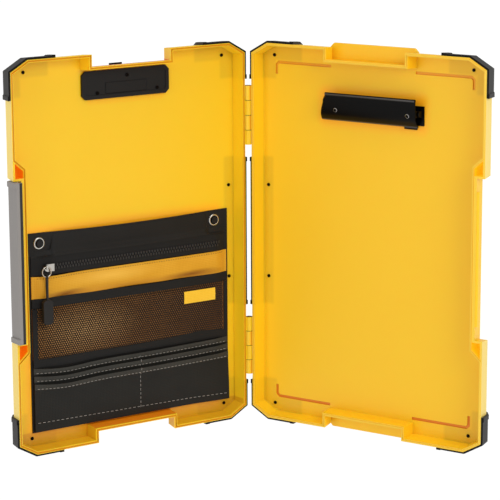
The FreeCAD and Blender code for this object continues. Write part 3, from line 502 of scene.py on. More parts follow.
# Resins that paint light and shade onto the trays: shade on the seal, light on the outer side walls, a highlight
# on the base's rim, and shade on the knuckle ends.
seal_resin = speckled("shaded_seal_resin", "#D8920C", "#E8A414", 0.6, 0.7, 0.012, shine=0.2)
lit_wall_resin = speckled("painted_lit_wall_resin", "#F3D262", "#F6DA78", 0.42, 0.7, 0.012, shine=0.4)
rim_highlight_resin = speckled("painted_highlight_rim_resin", "#F1C428", "#F3CA38", 0.38, 0.7, 0.012, shine=0.4)
gap_resin = speckled("shaded_gap_resin", "#4A2A04", "#5E3806", 0.7, 0.7, 0.012, shine=0.1)
light_table, tree, shader = new_finish("lit_white_table", 0.9)
feed(tree, shader, {"Base Color": linear("#202020"), "Emission Color": linear("#FFFFFF"),
                    "Emission Strength": 1.0})
floor.data.materials.append(light_table)

# %% [markdown]
# ### Woven nylon
# The organiser is a coated nylon weave. Warp and weft are drawn as two sets of crossed bands on the
# cloth's own UV map, which is laid out in metres. Real threads are finer than half a millimetre. They
# are drawn at 0.9 mm, because anything finer vanishes at this distance.

# %% Woven cloth
thread, thread_depth = in_mm(0.9, 0.08)
# A wave repeats every 0.314 / scale, with one light and one dark band, each about a thread wide.
weave_scale = 1 / thread / 2 / 3.14


def spot(tree, coords, centre, radii):
    """1 at a centre on the UV map, falling to 0 at the edge of an ellipse."""
    mapped = add(tree, "Mapping", {"Vector": coords, "Location": (*in_mm(*centre), 0.0),
                                   "Scale": (*in_mm(*radii), 1.0)}, vector_type="TEXTURE")
    round_fade = add(tree, "TexGradient", {"Vector": mapped.outputs["Vector"]}, gradient_type="SPHERICAL")
    return round_fade.outputs["Fac"]


def woven(name, dark, light, rough, sheen, spots=()):
    """A plain weave of two shades, with soft spots of other colours."""
    finish, tree, shader = new_finish(name, rough)
    coords = add(tree, "TexCoord").outputs["UV"]
    bands = {"Vector": coords, "Scale": weave_scale, "Distortion": 0.4, "Detail": 1.0}
    warp, weft = [add(tree, "TexWave", bands, bands_direction=way).outputs["Fac"] for way in "XY"]
    weave = maths(tree, "MAXIMUM", warp, weft)
    cloud = add(tree, "TexNoise", {"Vector": coords, "Scale": 1 / (30 * mm), "Detail": 3.0})
    shade = maths(tree, "MULTIPLY", weave, cloud.outputs["Fac"])
    colour = blend_colours(tree, shade, linear(dark), linear(light))
    for centre, radii, tint, strength in spots:
        share = maths(tree, "MULTIPLY", spot(tree, coords, centre, radii), strength)
        colour = blend_colours(tree, share, colour, linear(tint))
    bump = add(tree, "Bump", {"Height": weave, "Strength": 0.7, "Distance": thread_depth})
    feed(tree, shader, {"Base Color": colour, "Normal": bump.outputs["Normal"], "Specular IOR Level": 0.25,
                        "Sheen Weight": sheen, "Sheen Roughness": 0.45})
    return finish


black_nylon = woven("black_nylon_weave", "#090807", "#181614", 0.62, 0.03)
pocket_nylon = woven("charcoal_nylon_weave", "#0F0F0D", "#22211D", 0.68, 0.03)
# A lighter copy of the pocket nylon, as painted light on the hems.
lit_hem_nylon = woven("painted_lit_hem_weave", "#20201C", "#45433D", 0.66, 0.06)
binding_tape = woven("black_binding_tape", "#090909", "#191818", 0.7, 0.03)
# Each spot has its centre and radii on the cloth in millimetres, its colour and its strength. On the
# pouch, the two brown spots are painted shade in its folds, the orange one is painted shade along its
# lower edge, and the pale one is a painted highlight.
folds = (((40, 2), (30, 6), "#7A4206", 0.95), ((190, 3), (44, 6), "#7A4206", 0.9),
         ((110, 0), (110, 9), "#C07A10", 0.6), ((90, 16), (60, 9), "#FFD060", 0.35))
yellow_nylon = woven("yellow_nylon_weave", "#C98C0E", "#E0A930", 0.6, 0.05, spots=folds)
# On the lining, the pale spot is a painted sheen, and the dark spot darkens its right side.
drifts = (((240, 26), (170, 110), "#5A3310", 0.85), ((62, 24), (66, 30), "#E8B878", 0.6))
lining_nylon = woven("yellow_lining_weave", "#84521F", "#B98140", 0.7, 0.05, spots=drifts)
label_weave = woven("yellow_label_weave", "#E8B21C", "#FBD24A", 0.55, 0.1)
net_yarn = speckled("black_net_yarn", "#0C0805", "#1A130D", 0.6, 0.5, 0.02, shine=0.3)
stitch_thread = speckled("grey_stitch_thread", "#7E7973", "#A6A19A", 0.6, 0.3, 0.02)
dark_thread = speckled("dark_stitch_thread", "#3A2A14", "#5A421F", 0.6, 0.3, 0.02)
cord_braid = speckled("black_cord_braid", "#0F0F10", "#2A2929", 0.6, 0.5, 0.08)
print("finishes:", len(bpy.data.materials))

# %% [markdown]
# ## Rounded mouldings
# The solids have sharp edges. A mould never does, and the small round on an edge is what catches the
# light. Each rigid piece is therefore copied, its loose triangles are merged and its flat faces cleared
# of spare edges, and its true edges are then bevelled. A weight on every edge says how round it is.

# %% Copy a solid with rounded edges
edge_angle = math.radians(24)
flat_angle = math.radians(0.6)


def loose_copy(node):
    """A copy of a solid with its triangles merged, left in edit mode with all of it selected."""
    piece = copy_of(frame["nodes"][node])
    piece.parent = None
    for key in list(piece.keys()):
        del piece[key]
    piece.name = node + "_finished"
    only(piece)
    bpy.ops.object.mode_set(mode="EDIT")
    bpy.ops.mesh.select_all(action="SELECT")
    bpy.ops.mesh.remove_doubles(threshold=0.002 * mm)
    return piece


def rounded_copy(node, width, weigh=None):
    """A copy of a solid with bevelled edges; weigh gives an edge's share of the width."""
    piece = loose_copy(node)
    bpy.ops.mesh.dissolve_limited(angle_limit=flat_angle)
    bpy.ops.mesh.select_mode(type="EDGE")
    bpy.ops.mesh.select_all(action="DESELECT")
    bpy.ops.mesh.edges_select_sharp(sharpness=edge_angle)
    bpy.ops.object.mode_set(mode="OBJECT")
    mesh = piece.data
    back = place_of(node).inverted()
    weights = mesh.attributes.new("bevel_weight_edge", "FLOAT", "EDGE")
    for edge in mesh.edges:
        if edge.select:
            ends = [back @ mesh.vertices[i].co for i in edge.vertices]
            weights.data[edge.index].value = weigh(*ends) if weigh else 1.0
    shape_with(piece, "BEVEL", width=width, segments=3, limit_method="WEIGHT",
               use_clamp_overlap=True, loop_slide=False)
    smooth(piece, 30)
    shape_with(piece, "WEIGHTED_NORMAL", keep_sharp=True)
    return piece


# %% [markdown]
# ### The two trays
# The fold between floor and wall is the roundest edge of a tray, and shows as a soft bright line. The
# rim and its seal are crisp, and bores stay sharp, as they do in a mould. The seal is a groove in the
# cover and a tongue on the base, and its sides are painted a shaded orange, which draws a thin dark
# line along the rim. The knuckle ends get a painted shade, the outer side walls a painted light, and
# the base's rim a painted highlight.

# %% Trays
floor_round, bore_edge, rim_zone, by_side, by_end = in_mm(2.4, 1.6, 1.6, 18.0, 18.5)
fold_share, crisp_share, other_share = 1.0, 0.1, 0.25
knuckle_reach, wall_reach, rim_reach = in_mm(6.0, 4.0, 0.4)
groove_top, groove_foot, tongue_side = in_mm(0.45, 1.5, 0.15)


def tray_edge(a, b):
    """How round a tray's edge is, as a share of the floor's round."""
    if (a - b).length < bore_edge:
        return 0.0
    if all(abs(p.y - floor_depth) < 0.05 * mm for p in (a, b)):
        from_side = min(min(abs(p.x), tray_far - abs(p.x)) for p in (a, b))
        from_end = min(min(p.z, tray_tall - p.z) for p in (a, b))
        return fold_share if from_side < by_side or from_end < by_end else crisp_share
    return crisp_share if max(a.y, b.y) < rim_zone else other_share


for node, finish in (("base_shell", resin_base), ("cover_shell", resin_cover)):
    tray = dress(rounded_copy(node, floor_round, tray_edge), finish, node)
    on_base = node == "base_shell"
    back = place_of(node).inverted()
    turn = back.to_3x3()

    def on_seal(face):
        deep = (back @ face.center).y
        if on_base:
            return deep < tongue_side and (turn @ face.normal).y > -0.6
        return groove_top < deep < groove_foot

    def on_knuckle_end(face):
        return abs((back @ face.center).x) < knuckle_reach and abs(face.normal.z) > 0.9

    def on_side_wall(face):
        across = (back @ face.center).x
        outward = (turn @ face.normal).x * (1.0 if across > 0 else -1.0)
        return tray_far - abs(across) < wall_reach and outward > 0.8

    def on_base_rim(face):
        return on_base and (back @ face.center).y < rim_reach and (turn @ face.normal).y < -0.9

    # Painted shade on the seal and the knuckle ends, painted light on the outer side walls, and a painted
    # highlight on the base's rim.
    mark(tray, seal_resin, on_seal)
    mark(tray, gap_resin, on_knuckle_end)
    mark(tray, lit_wall_resin, on_side_wall)
    mark(tray, rim_highlight_resin, on_base_rim)
    print(tray.name, len(tray.data.polygons), "faces")

# %% Guards and other rigid pieces
# The outer faces of the guards get a lighter grey as painted light, and their edges beside the rim stay black.
# The spine bumpers get that painted light only on the outside of the case, and a darker painted shade beside the
# hinge gap.
guard_round = 0.7 * mm
for node in frame["nodes"]:
    bumper = "spine_bumper" in node
    if bumper or "guard_" in node and "screws" not in node:
        guard = dress(rounded_copy(node, guard_round), lit_grey_rubber, node)
        front_way = place_of(node).to_3x3() @ Vector((0, -1, 0))
        dark_from = -0.5 if bumper else 0.6
        mark(guard, shaded_gap_rubber if bumper else black_rubber,
             lambda face: face.normal.dot(front_way) > dark_from)
rigid_pieces = (
    ("latch_bar", 0.5, grey_resin), ("clip_base_plate", 0.3, black_paint),
    ("outer_clip_lever", 0.3, black_paint), ("outer_clip_base", 0.3, black_paint),
    ("zip_slider", 0.3, plated_zinc), ("zip_pull_tab", 0.8, tab_rubber), ("clip_rivets", 0.4, rivet_steel),
    ("organiser_pegs", 0.25, black_resin), ("organiser_grommets", 0.3, plated_zinc),
)
for node, width, finish in rigid_pieces:
    dress(rounded_copy(node, width * mm), finish, node)
for node in ("hinge_pin_upper", "hinge_pin_lower", "clip_pivot_pin", "clip_spring", "outer_clip_pin",
             "outer_clip_spring", "latch_pin"):
    steel = frame["nodes"][node]
    steel.data.materials.clear()
    steel.data.materials.append(bright_steel if "spring" in node else screw_steel)
print("rigid pieces dressed:", len(rigid_pieces))

# %% Backing plate with round corners and an embossed frame
plate_round, plate_crisp = 2.2 * mm, 0.14


def plate_edge(a, b):
    """The plate's four corners are round, and its other edges are crisp."""
    along = (a - b).normalized()
    return 1.0 if abs(along.y) > 0.9 and (a - b).length > 1.0 * mm else plate_crisp


plate = rounded_copy("clip_backing_plate", plate_round, plate_edge)
dress(plate, black_resin, "clip_backing_plate")
frame_u, frame_v = in_mm(113.6, 162.3), in_mm(359.0, 370.3)
bpy.ops.mesh.primitive_plane_add(size=1.0, rotation=(math.pi / 2, 0, 0),
                                 location=(-sum(frame_u) / 2, plate_face, sum(frame_v) / 2))
emboss = bpy.context.object
emboss.name = "backing_plate_emboss"
emboss.scale = (frame_u[1] - frame_u[0], frame_v[1] - frame_v[0], 1.0)
apply_place(emboss)
shape_with(emboss, "WIREFRAME", thickness=0.9 * mm, use_even_offset=True)
round_off(emboss, 0.2 * mm, 2)
settle(emboss, cover_place)
dress(emboss, black_resin, "clip_backing_plate", replace=False)

# %% [markdown]
# ### The clip's lever
# The lever is one bent sheet. A grid follows its side view from the jaw to the finger roll, with the
# bends cut round in three passes, and Solidify gives it the sheet's thickness. The roll, two ears and
# the jaw's tab are joined to it, and the front of the roll and the lip of the jaw get a painted highlight.

# %% Lever
lever_sides = in_mm(88.0, 196.0)
lever_sheet, roll_radius = in_mm(1.2, 1.7)
lever_view = [(325.4, 1.3), (327.9, 4.6), (334.4, 10.2), (346.4, 12.7), (353.4, 12.7)]
lever_pivot = in_mm(339.5, 6.0)
jaw_foot, jaw_top = in_mm(325.4, 345.0)
flare_left, flare_right = in_mm(7.4, 2.4)
corner_foot, corner_tall, corner_cut = in_mm(344, 9, 2.6)
tab_wide, tab_drop, tab_inset = in_mm(15.0, 2.6, 3.4)
for _ in range(3):
    cut = [lever_view[0]]
    for (v, h), (v_on, h_on) in zip(lever_view, lever_view[1:]):
        cut += [(v * near + v_on * (1 - near), h * near + h_on * (1 - near)) for near in (0.75, 0.25)]
    lever_view = cut + [lever_view[-1]]


def lever_ends(v):
    """Both sides at a height: the jaw is a little wider, and the upper left corner is round."""
    low = max(0.0, min(1.0, (jaw_top - v) / (jaw_top - jaw_foot)))
    high = ease((v - corner_foot) / corner_tall)
    return lever_sides[0] - flare_left * low + corner_cut * high ** 2, lever_sides[1] - flare_right * low


def bent_sheet(name, ends, view, columns):
    """A sheet that follows a side view of points (v, h) in millimetres, between the u values ends(v)."""
    rows = len(view) - 1
    bpy.ops.mesh.primitive_grid_add(x_subdivisions=columns, y_subdivisions=rows, size=1.0)
    piece = bpy.context.object
    piece.name = name
    for vert in piece.data.vertices:
        v, h = view[round((vert.co.y + 0.5) * rows)]
        near, far = ends(v * mm)
        vert.co = (near + (far - near) * (vert.co.x + 0.5), floor_depth - h * mm, v * mm)
    shape_with(piece, "SOLIDIFY", thickness=lever_sheet, offset=0.0)
    round_off(piece, 0.3 * mm, 2, 50)
    return piece


lever_parts = [bent_sheet("clip_lever_finished", lever_ends, lever_view, 36)]
foot_v, foot_h = lever_view[0]
tab_view = [(foot_v - tab_drop / mm, foot_h), (foot_v - 1.0, foot_h), (foot_v + 0.4, foot_h + 0.5)]
tab_far = lever_sides[1] - tab_inset
lever_parts.append(bent_sheet("jaw_tab", lambda v: (tab_far - tab_wide, tab_far), tab_view, 4))
roll_v, roll_h = lever_view[-1]
roll_ends = lever_ends(roll_v * mm)
roll = drum(roll_radius, roll_ends[1] - roll_ends[0],
            (sum(roll_ends) / 2, floor_depth - roll_h * mm, roll_v * mm), (0, math.pi / 2, 0))
round_off(roll, 0.5 * mm, 3, 60)
lever_parts.append(roll)
for u in (lever_sides[0] + 0.7 * mm, lever_sides[1] - 0.7 * mm):
    ear = block(in_mm(1.4, 8.6, 6.6), (u, floor_depth - lever_pivot[1] - 1.6 * mm, lever_pivot[0]))
    round_off(ear, 0.5 * mm, 2)
    lever_parts.append(ear)
lever = settle(merged(lever_parts, "clip_lever_finished"), base_place)
smooth(lever, 35)
dress(lever, black_paint, "clip_lever")


def gets_painted_highlight(face):
    """The front of the roll, and the lip of the jaw, which get a painted highlight."""
    v = face.center.z - foot_rise
    on_roll = v > roll_v * mm - roll_radius and face.normal.y < -0.82
    on_lip = abs(v - foot_v * mm - 0.2 * mm) < 0.9 * mm and face.normal.y < -0.3
    return on_roll or on_lip


# The front of the roll and the lip of the jaw get a painted highlight.
mark(lever, highlight_enamel, gets_painted_highlight)

# %% [markdown]
# ### Hollow rivets of the clip
# Two plated eyelets sit on the lever's sloping face, above its jaw. Each is a short tube with a rolled
# edge, made from a disc whose top is inset and pushed down. A ray finds the lever's face at each place.

# %% Eyelets
eyelet_radius, eyelet_high = in_mm(2.9, 0.9)
eyelet_wall, eyelet_taper, eyelet_deep = in_mm(0.9, 0.15, 0.7)
eyelet = drum(eyelet_radius, eyelet_high)
for face in eyelet.data.polygons:
    face.select = face.normal.z > 0.9
only(eyelet)
bpy.ops.object.mode_set(mode="EDIT")
bpy.ops.mesh.select_mode(type="FACE")
bpy.ops.mesh.inset(thickness=eyelet_wall, depth=0.0)
bpy.ops.mesh.inset(thickness=eyelet_taper, depth=-eyelet_deep)
bpy.ops.object.mode_set(mode="OBJECT")
round_off(eyelet, 0.2 * mm, 2)
smooth(eyelet, 40)
eyelet.data.materials.append(rivet_steel)
# The hollow middle is painted black, as painted shade for the hole.
mark(eyelet, black_paint, lambda face: math.hypot(*face.center.xy) < eyelet_radius - 1.0 * mm)
bpy.context.view_layer.update()
seats = []
for u, v in (in_mm(101.9, 337.3), in_mm(186.1, 337.5)):
    start = base_place @ Vector((u, -0.06, v))
    _, seat, upright, _ = lever.ray_cast(start, Vector((0, 1, 0)))
    turn = upright.to_track_quat("Z", "Y").to_matrix().to_4x4()
    seats.append(Matrix.Translation(seat + upright * 0.2 * mm) @ turn)
eyelets = placed(eyelet, seats, "clip_lever_eyelets")
bpy.data.objects.remove(eyelet)
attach(eyelets, body_of["clip_lever"])

# %% [markdown]
# ### Front edge of the latch bar
# The bar's front edge is grey like its face on the outside, and black on the side of the tray.

# %% Front edge of the latch bar
latch = bpy.data.objects["latch_bar_finished"]
front_way = cover_place.to_3x3() @ Vector((0, -1, 0))
flat_back = cover_place.inverted()


def on_front(face):
    return face.normal.dot(front_way) > 0.75


edge_us = [-(flat_back @ latch.data.vertices[i].co).x
           for face in latch.data.polygons if on_front(face) for i in face.vertices]
edge_middle = (min(edge_us) + max(edge_us)) / 2
latch_edge, tree, shader = new_finish("two_tone_latch_edge", 0.55)
coords, (edge_x, _, _) = tray_frame(tree, cover_place)
edge_share = step_up(tree, maths(tree, "MULTIPLY", edge_x, -1.0), edge_middle, 0.15 * mm)
feed(tree, shader, {"Base Color": blend_colours(tree, edge_share, linear("#131110"), linear("#86817D"))})
grain(tree, shader, coords, 0.7 * mm, 0.03 * mm)
mark(latch, latch_edge, on_front)

# %% Ring of the zip pull
ring = loose_copy("zip_pull_ring")
bpy.ops.mesh.tris_convert_to_quads()
bpy.ops.object.mode_set(mode="OBJECT")
shape_with(ring, "SUBSURF", levels=1, render_levels=1)
only(ring)
bpy.ops.object.shade_smooth()
dress(ring, plated_zinc, "zip_pull_ring")

# %% [markdown]
# ## Screws
# A pan head with a cross recess is made once, and copied to each place. The two halves have six
# each, and the clip's backing plate has three.

# %% One screw
head_radius, head_high = in_mm(1.8, 1.3)
shank_radius, shank_long = in_mm(1.2, 4.2)
cross_slot = in_mm(2.3, 0.55, 0.9)


def pan_screw():
    """A screw whose head faces -y, seated at y = 0."""
    head = drum(head_radius, head_high, (0, 0, head_high / 2))
    round_off(head, 0.55 * mm, 3, 60)
    for turn in (0.0, math.pi / 2):
        cutter = block(cross_slot, (0, 0, head_high), turn)
        shape_with(head, "BOOLEAN", operation="DIFFERENCE", object=cutter, solver="EXACT")
        bpy.data.objects.remove(cutter)
    shank = drum(shank_radius, shank_long, (0, 0, -shank_long / 2), vertices=16)
    round_off(shank, 0.2 * mm, 2, 60)
    screw = merged([head, shank], "screw_pattern")
    screw.rotation_euler = (math.pi / 2, 0, 0)
    apply_place(screw)
    smooth(screw, 35)
    return screw


screw = pan_screw()
screw_turn = 0.7
guard_screws = [(21.6, 12.2), (255.0, 12.2), (21.6, 387.6), (255.0, 387.6), (13.8, 151.0), (13.8, 249.6)]
plate_screws = [(101.5, 360.6), (137.0, 376.2), (172.0, 360.2)]
screw_sets = (
    ("base_screws_finished", "base_guard_screws", guard_screws, floor_depth, 1),
    ("cover_screws_finished", "cover_guard_screws", guard_screws, floor_depth, -1),
    ("plate_screws_finished", "backing_plate_screws", plate_screws, plate_face, -1),
)
for name, node, places, seat_y, way in screw_sets:
    spots = [Matrix.Translation((way * u * mm, seat_y, v * mm)) @ Matrix.Rotation(screw_turn * i, 4, "Y")
             for i, (u, v) in enumerate(places)]
    dress(settle(placed(screw, spots, name), place_of(node)), screw_steel, node)
bpy.data.objects.remove(screw)

# %% [markdown]
# ## The sewn organiser
# Every sheet of the organiser is a fine grid in the cover's flat frame. A function of the place on the
# sheet lifts it off the panel, so a pouch can bulge, a hem can sag and a fold can dent, and Solidify
# gives it the thickness of its cloth. `share` counts from the outer edge, on the left, to the hinge.

# %% Cloth tools
panel_front = floor_depth - 1.2 * mm
sheet_near, sheet_far = in_mm(18.5, 252.5)
hem_flat, side_taper = in_mm(3.0, 14.0)
flare_u, flare_wide, flare_v, flare_tall = in_mm(70, 54, 80, 62)
flare_out, flare_down = in_mm(1.6, 1.2)


def share_of(u):
    """0 at the organiser's left edge and 1 at its right edge."""
    return (sheet_far - u) / (sheet_far - sheet_near)


def side_rise(u):
    """Sewn down along both sides, and free 17 mm further in."""
    edge = min(u - sheet_near, sheet_far - u)
    return math.sin(math.pi / 2 * max(0.0, min(1.0, (edge - hem_flat) / side_taper)))


def hump(value, middle, wide):
    """A soft bump of height 1."""
    return math.exp(-((value - middle) / wide) ** 2)


def flared(u, v):
    """The organiser's lower corner by the hinge hangs a little out and down."""
    share = ease((flare_u - u) / flare_wide) * ease((flare_v - v) / flare_tall)
    return u - flare_out * share, v - flare_down * share


def cloth_sheet(name, node, finish, up, lift, step, thick, slip=None, across=(sheet_near, sheet_far),
                replace=True):
    """A dressed sheet between two u and two v values, its flat size and its area. lift(u, t) is the
    height of its face over the panel and slip(u, t) a shift upwards; t runs from 0 at its foot to 1 at
    its top. The step of its grid and its thickness are in millimetres."""
    wide = across[1] - across[0]
    tall = up[1] - up[0]
    columns, rows = [max(2, round(long / (step * mm))) for long in (wide, tall)]
    middle = (-(across[0] + across[1]) / 2, 0, (up[0] + up[1]) / 2)
    bpy.ops.mesh.primitive_grid_add(x_subdivisions=columns, y_subdivisions=rows, size=1.0,
                                    location=middle, rotation=(math.pi / 2, 0, 0))
    piece = bpy.context.object
    piece.name = name
    piece.scale = (wide, tall, 1.0)
    apply_place(piece)
    for corner in piece.data.uv_layers[0].data:
        corner.uv = (corner.uv.x * wide, corner.uv.y * tall)
    for vert in piece.data.vertices:
        u = -vert.co.x
        t = (vert.co.z - up[0]) / tall
        vert.co.y = panel_front - lift(u, t)
        if slip:
            vert.co.z += slip(u, t)
        u, vert.co.z = flared(u, vert.co.z)
        vert.co.x = -u
    area = sum(face.area for face in piece.data.polygons)
    shape_with(piece, "SOLIDIFY", thickness=thick * mm, offset=-1.0)
    smooth(piece, 50)
    dress(settle(piece, cover_place), finish, node, replace)
    return piece, (wide, area / wide), area


def declare(piece, flat, held, *rests_on, extra=()):
    print(piece.name, "cut", round(flat[0] / mm, 1), "x", round(flat[1] / mm, 1), "mm")


# %% [markdown]
# ### Backing panel, lip and zip tape
# The panel lies on the cover's floor, but for its loose top edge. The lip is the folded lower edge of
# the top band, which hangs over the zip. At both ends it narrows to pass under a grommet.

# %% Panel, lip and tape
panel_foot, panel_top = in_mm(17.6, 225)
lip_foot, lip_low_top, lip_top = in_mm(199.6, 206.4, 223.0)
grommet_near, grommets_apart = in_mm(40, 196)
loose_foot, loose_tall, loose_lift = in_mm(202, 20, 4.5)
narrow_near, narrow_far, narrow_fade = in_mm(41.0, 226.0, 5)


def loose_top(u, v):
    """Between its two grommets the organiser's top edge stands off the floor."""
    middle = max(0.0, min(1.0, (u - grommet_near) / grommets_apart))
    return loose_lift * math.sin(math.pi * middle) ** 0.7 * ease((v - loose_foot) / loose_tall)


def panel_lift(u, t):
    return loose_top(u, panel_foot + t * (panel_top - panel_foot))


def panel_slip(u, t):
    return -1.2 * mm * math.sin(math.pi * share_of(u)) * ease((t - 0.9) / 0.1)


panel, panel_flat, _ = cloth_sheet("organiser_panel_cloth", "organiser_panel", black_nylon,
                                   (panel_foot, panel_top), panel_lift, 2.6, 1.15, panel_slip,
                                   across=in_mm(16.5, 254.5))
declare(panel, panel_flat, "laid", "cover_shell")


def lip_lift(u, t):
    fold = 2.1 * mm * hump(t, 0.05, 0.1) + 0.5 * mm * hump(t, 0.3, 0.2) * math.sin(11 * share_of(u))
    outer = ease((sheet_far - u) / (9 * mm))
    loose = loose_top(u, lip_foot + t * (lip_top - lip_foot))
    return 1.0 * mm - 0.85 * mm * ease(t * 3) + loose + (2.6 * mm * (1 - t) + fold) * side_rise(u) * outer


def lip_slip(u, t):
    narrow = 1 - ease((u - narrow_near) / narrow_fade) + ease((u - narrow_far) / narrow_fade)
    wave = 0.5 * mm * math.sin(7.5 * share_of(u) + 0.6) * (1 - t)
    sag = panel_slip(u, 1.0) * t
    return (lip_low_top - lip_top) * t * narrow + wave + sag


lip, _, lip_area = cloth_sheet("pouch_top_band_cloth", "pouch_top_band", black_nylon, (lip_foot, lip_top),
                               lip_lift, 1.5, 1.0, lip_slip)


def tape_lift(u, t):
    return 1.0 * mm + (3.0 * mm + 0.25 * mm * math.sin(9 * share_of(u))) * side_rise(u)


tape, tape_flat, _ = cloth_sheet("zip_tape_cloth", "zip_tape", binding_tape, in_mm(181.6, 199.8),
                                 tape_lift, 1.6, 1.0)
declare(tape, tape_flat, "stretched", "organiser_panel_cloth")

# %% [markdown]
# ### Zip teeth
# A coil zip looks like two rows of short ribs. One rib is made from a cube with rounded edges, and two
# arrays repeat it along the tape and across it.

# %% Zip teeth
teeth_near, teeth_far, tooth_pitch = in_mm(26.5, 236.0, 3.3)
tooth_count = int((teeth_far - teeth_near) / tooth_pitch)
row_rise, row_gap = in_mm(187.9, 3.1)
teeth = block(in_mm(1.9, 1.4, 2.7))
teeth.name = "zip_teeth_rows"
round_off(teeth, 0.4 * mm, 2)
repeat(teeth, tooth_count, (tooth_pitch, 0, 0))
repeat(teeth, 2, (tooth_pitch / 2, 0, row_gap))
for vert in teeth.data.vertices:
    vert.co.x -= teeth_far
    vert.co.z += row_rise
    vert.co.y += panel_front - 0.5 * mm - tape_lift(-vert.co.x, 0)
settle(teeth, cover_place)
smooth(teeth, 40)
dress(teeth, zip_resin, "zip_teeth")

# %% [markdown]
# ### Yellow pouch front and its binding
# The pouch bulges between the zip and its binding. Its lower edge is pulled in at three places, as where
# cloth folds, and its top edge sags a little, most on the left.

# %% Pouch
pouch_foot, pouch_top = in_mm(157.2, 181.0)


def pouch_lift(u, t):
    s = share_of(u)
    bulge = 2.4 * mm + 3.2 * mm * math.sin(math.pi * t) ** 0.8
    # Each dent has a depth, a place and a width along the pouch, and a place and a width up it.
    dents = sum(deep * mm * hump(s, along, wide) * hump(t, up, tall) for deep, along, wide, up, tall in (
        (2.4, 0.15 + 0.3 * t, 0.06, 0.1, 0.14), (2.4, 0.76 + 0.4 * t, 0.08, 0.1, 0.14),
        (2.0, 0.5, 0.12, 0.04, 0.1), (0.9, 0.3, 0.05, 0.75, 0.2), (0.7, 0.62, 0.06, 0.6, 0.2)))
    return 1.0 * mm + (bulge - dents) * side_rise(u)


def pouch_slip(u, t):
    s = share_of(u)
    return -1.3 * mm * hump(s, 0.1, 0.1) * t - 0.5 * mm * math.sin(math.pi * s) * t


def binding_lift(u, t):
    return 1.5 * mm + (1.9 * mm + 0.5 * mm * math.sin(math.pi * t)) * side_rise(u)


def binding_slip(u, t):
    return 0.6 * mm * math.sin(6 * share_of(u) + 1.0) * (0.4 + 0.6 * t)


pouch, pouch_flat, _ = cloth_sheet("pouch_front_cloth", "pouch_front", yellow_nylon, (pouch_foot, pouch_top),
                                   pouch_lift, 1.2, 1.0, pouch_slip)
binding, _, _ = cloth_sheet("pouch_binding_tape", "pouch_binding", binding_tape, in_mm(147.6, 157.0),
                            binding_lift, 1.3, 1.5, binding_slip)
declare(pouch, pouch_flat, "stretched", "organiser_panel_cloth", extra=[binding])

# %% [markdown]
# ### Net pocket
# The net is a knitted honeycomb of black yarn over a brownish lining. One six-sided cell is repeated in
# three arrays, the cells' shared corners are welded, and Wireframe turns their edges into strands.

# %% Lining and net
net_foot, net_top = in_mm(94.2, 147.0)
net_near, net_far = in_mm(21.5, 247.5)
lining, lining_flat, _ = cloth_sheet("mesh_lining_cloth", "mesh_lining", lining_nylon, (net_foot, net_top),
                                     lambda u, t: 0.6 * mm, 3.0, 0.6)
cell_wide, yarn_thick = in_mm(2.6, 1.12)
cell_radius = cell_wide / math.sqrt(3)
cell_columns = int((net_far - net_near) / cell_wide)
cell_rows = int((net_top - net_foot) / (3 * cell_radius)) + 1
bpy.ops.mesh.primitive_circle_add(vertices=6, radius=cell_radius, fill_type="NGON",
                                  rotation=(math.pi / 2, 0, 0))
net = bpy.context.object
net.name = "mesh_pocket_net"
apply_place(net)
repeat(net, cell_columns, (cell_wide, 0, 0))
repeat(net, 2, (cell_wide / 2, 0, 1.5 * cell_radius))
repeat(net, cell_rows, (0, 0, 3 * cell_radius))
shape_with(net, "WELD", merge_threshold=0.05 * mm)
shape_with(net, "WIREFRAME", thickness=yarn_thick, use_even_offset=False, use_boundary=True)
for vert in net.data.vertices:
    vert.co.x -= net_far
    vert.co.z += net_foot
    vert.co.y += panel_front - 1.1 * mm
settle(net, cover_place)
dress(net, net_yarn, "mesh_pocket")
print("net:", len(net.data.polygons), "faces")

side_strips = []
for side, (near, far) in {"left": (246.8 * mm, sheet_far), "right": (sheet_near, 22.2 * mm)}.items():
    strip, _, _ = cloth_sheet("mesh_side_tape_" + side, "mesh_pocket", binding_tape, (net_foot, net_top),
                              lambda u, t: 1.75 * mm, 1.4, 1.0, across=(near, far), replace=False)
    side_strips.append(strip)


def band_lift(u, t):
    return 1.5 * mm + 0.8 * mm * math.sin(math.pi * t)


def band_slip(u, t):
    s = share_of(u)
    wave = 1.8 * mm * hump(s, 0.86, 0.07) + 0.7 * mm * math.sin(9 * s + 0.4)
    return wave * t - 1.4 * mm * hump(s, 0.15, 0.12)


band, _, _ = cloth_sheet("mesh_binding_tape", "mesh_binding", binding_tape, in_mm(86.0, 94.4),
                         band_lift, 1.3, 1.5, band_slip)
declare(lining, lining_flat, "laid", "organiser_panel_cloth", extra=[net, band, *side_strips])

# %% [markdown]
# ### Card pockets and label
# Three sheets lie one over another, each with a turned hem along its top. The hems sag on the left,
# where hands have pulled them open, and stand off the sheet behind them, which leaves a dark slit.

# %% Card pockets
hem_tall, hem_fade, hem_thick, hem_gape, hem_drop = in_mm(6.6, 0.8, 0.7, 2.3, 7.5)
pocket_foot, pocket_sheet = in_mm(18.6, 0.9)
pocket_tops = {"card_pocket_back": 86.2 * mm, "card_pocket_middle": 78.2 * mm,
               "card_pocket_front": 70.0 * mm}


def hem_sag(u):
    s = share_of(u)
    return -3.0 * mm * hump(s, 0.15, 0.13) - 1.9 * mm * math.sin(math.pi * s) ** 0.8


def pocket_lift(layer, top, u, t):
    down = (1 - t) * (top - pocket_foot)
    hem = hem_thick * (1 - ease((down - hem_tall) / hem_fade))
    gape = hem_gape * (1 - ease(down / hem_drop)) * side_rise(u)
    return pocket_sheet * (layer + 1) + hem + gape


def pocket_slip(u, t):
    return hem_sag(u) * t * t


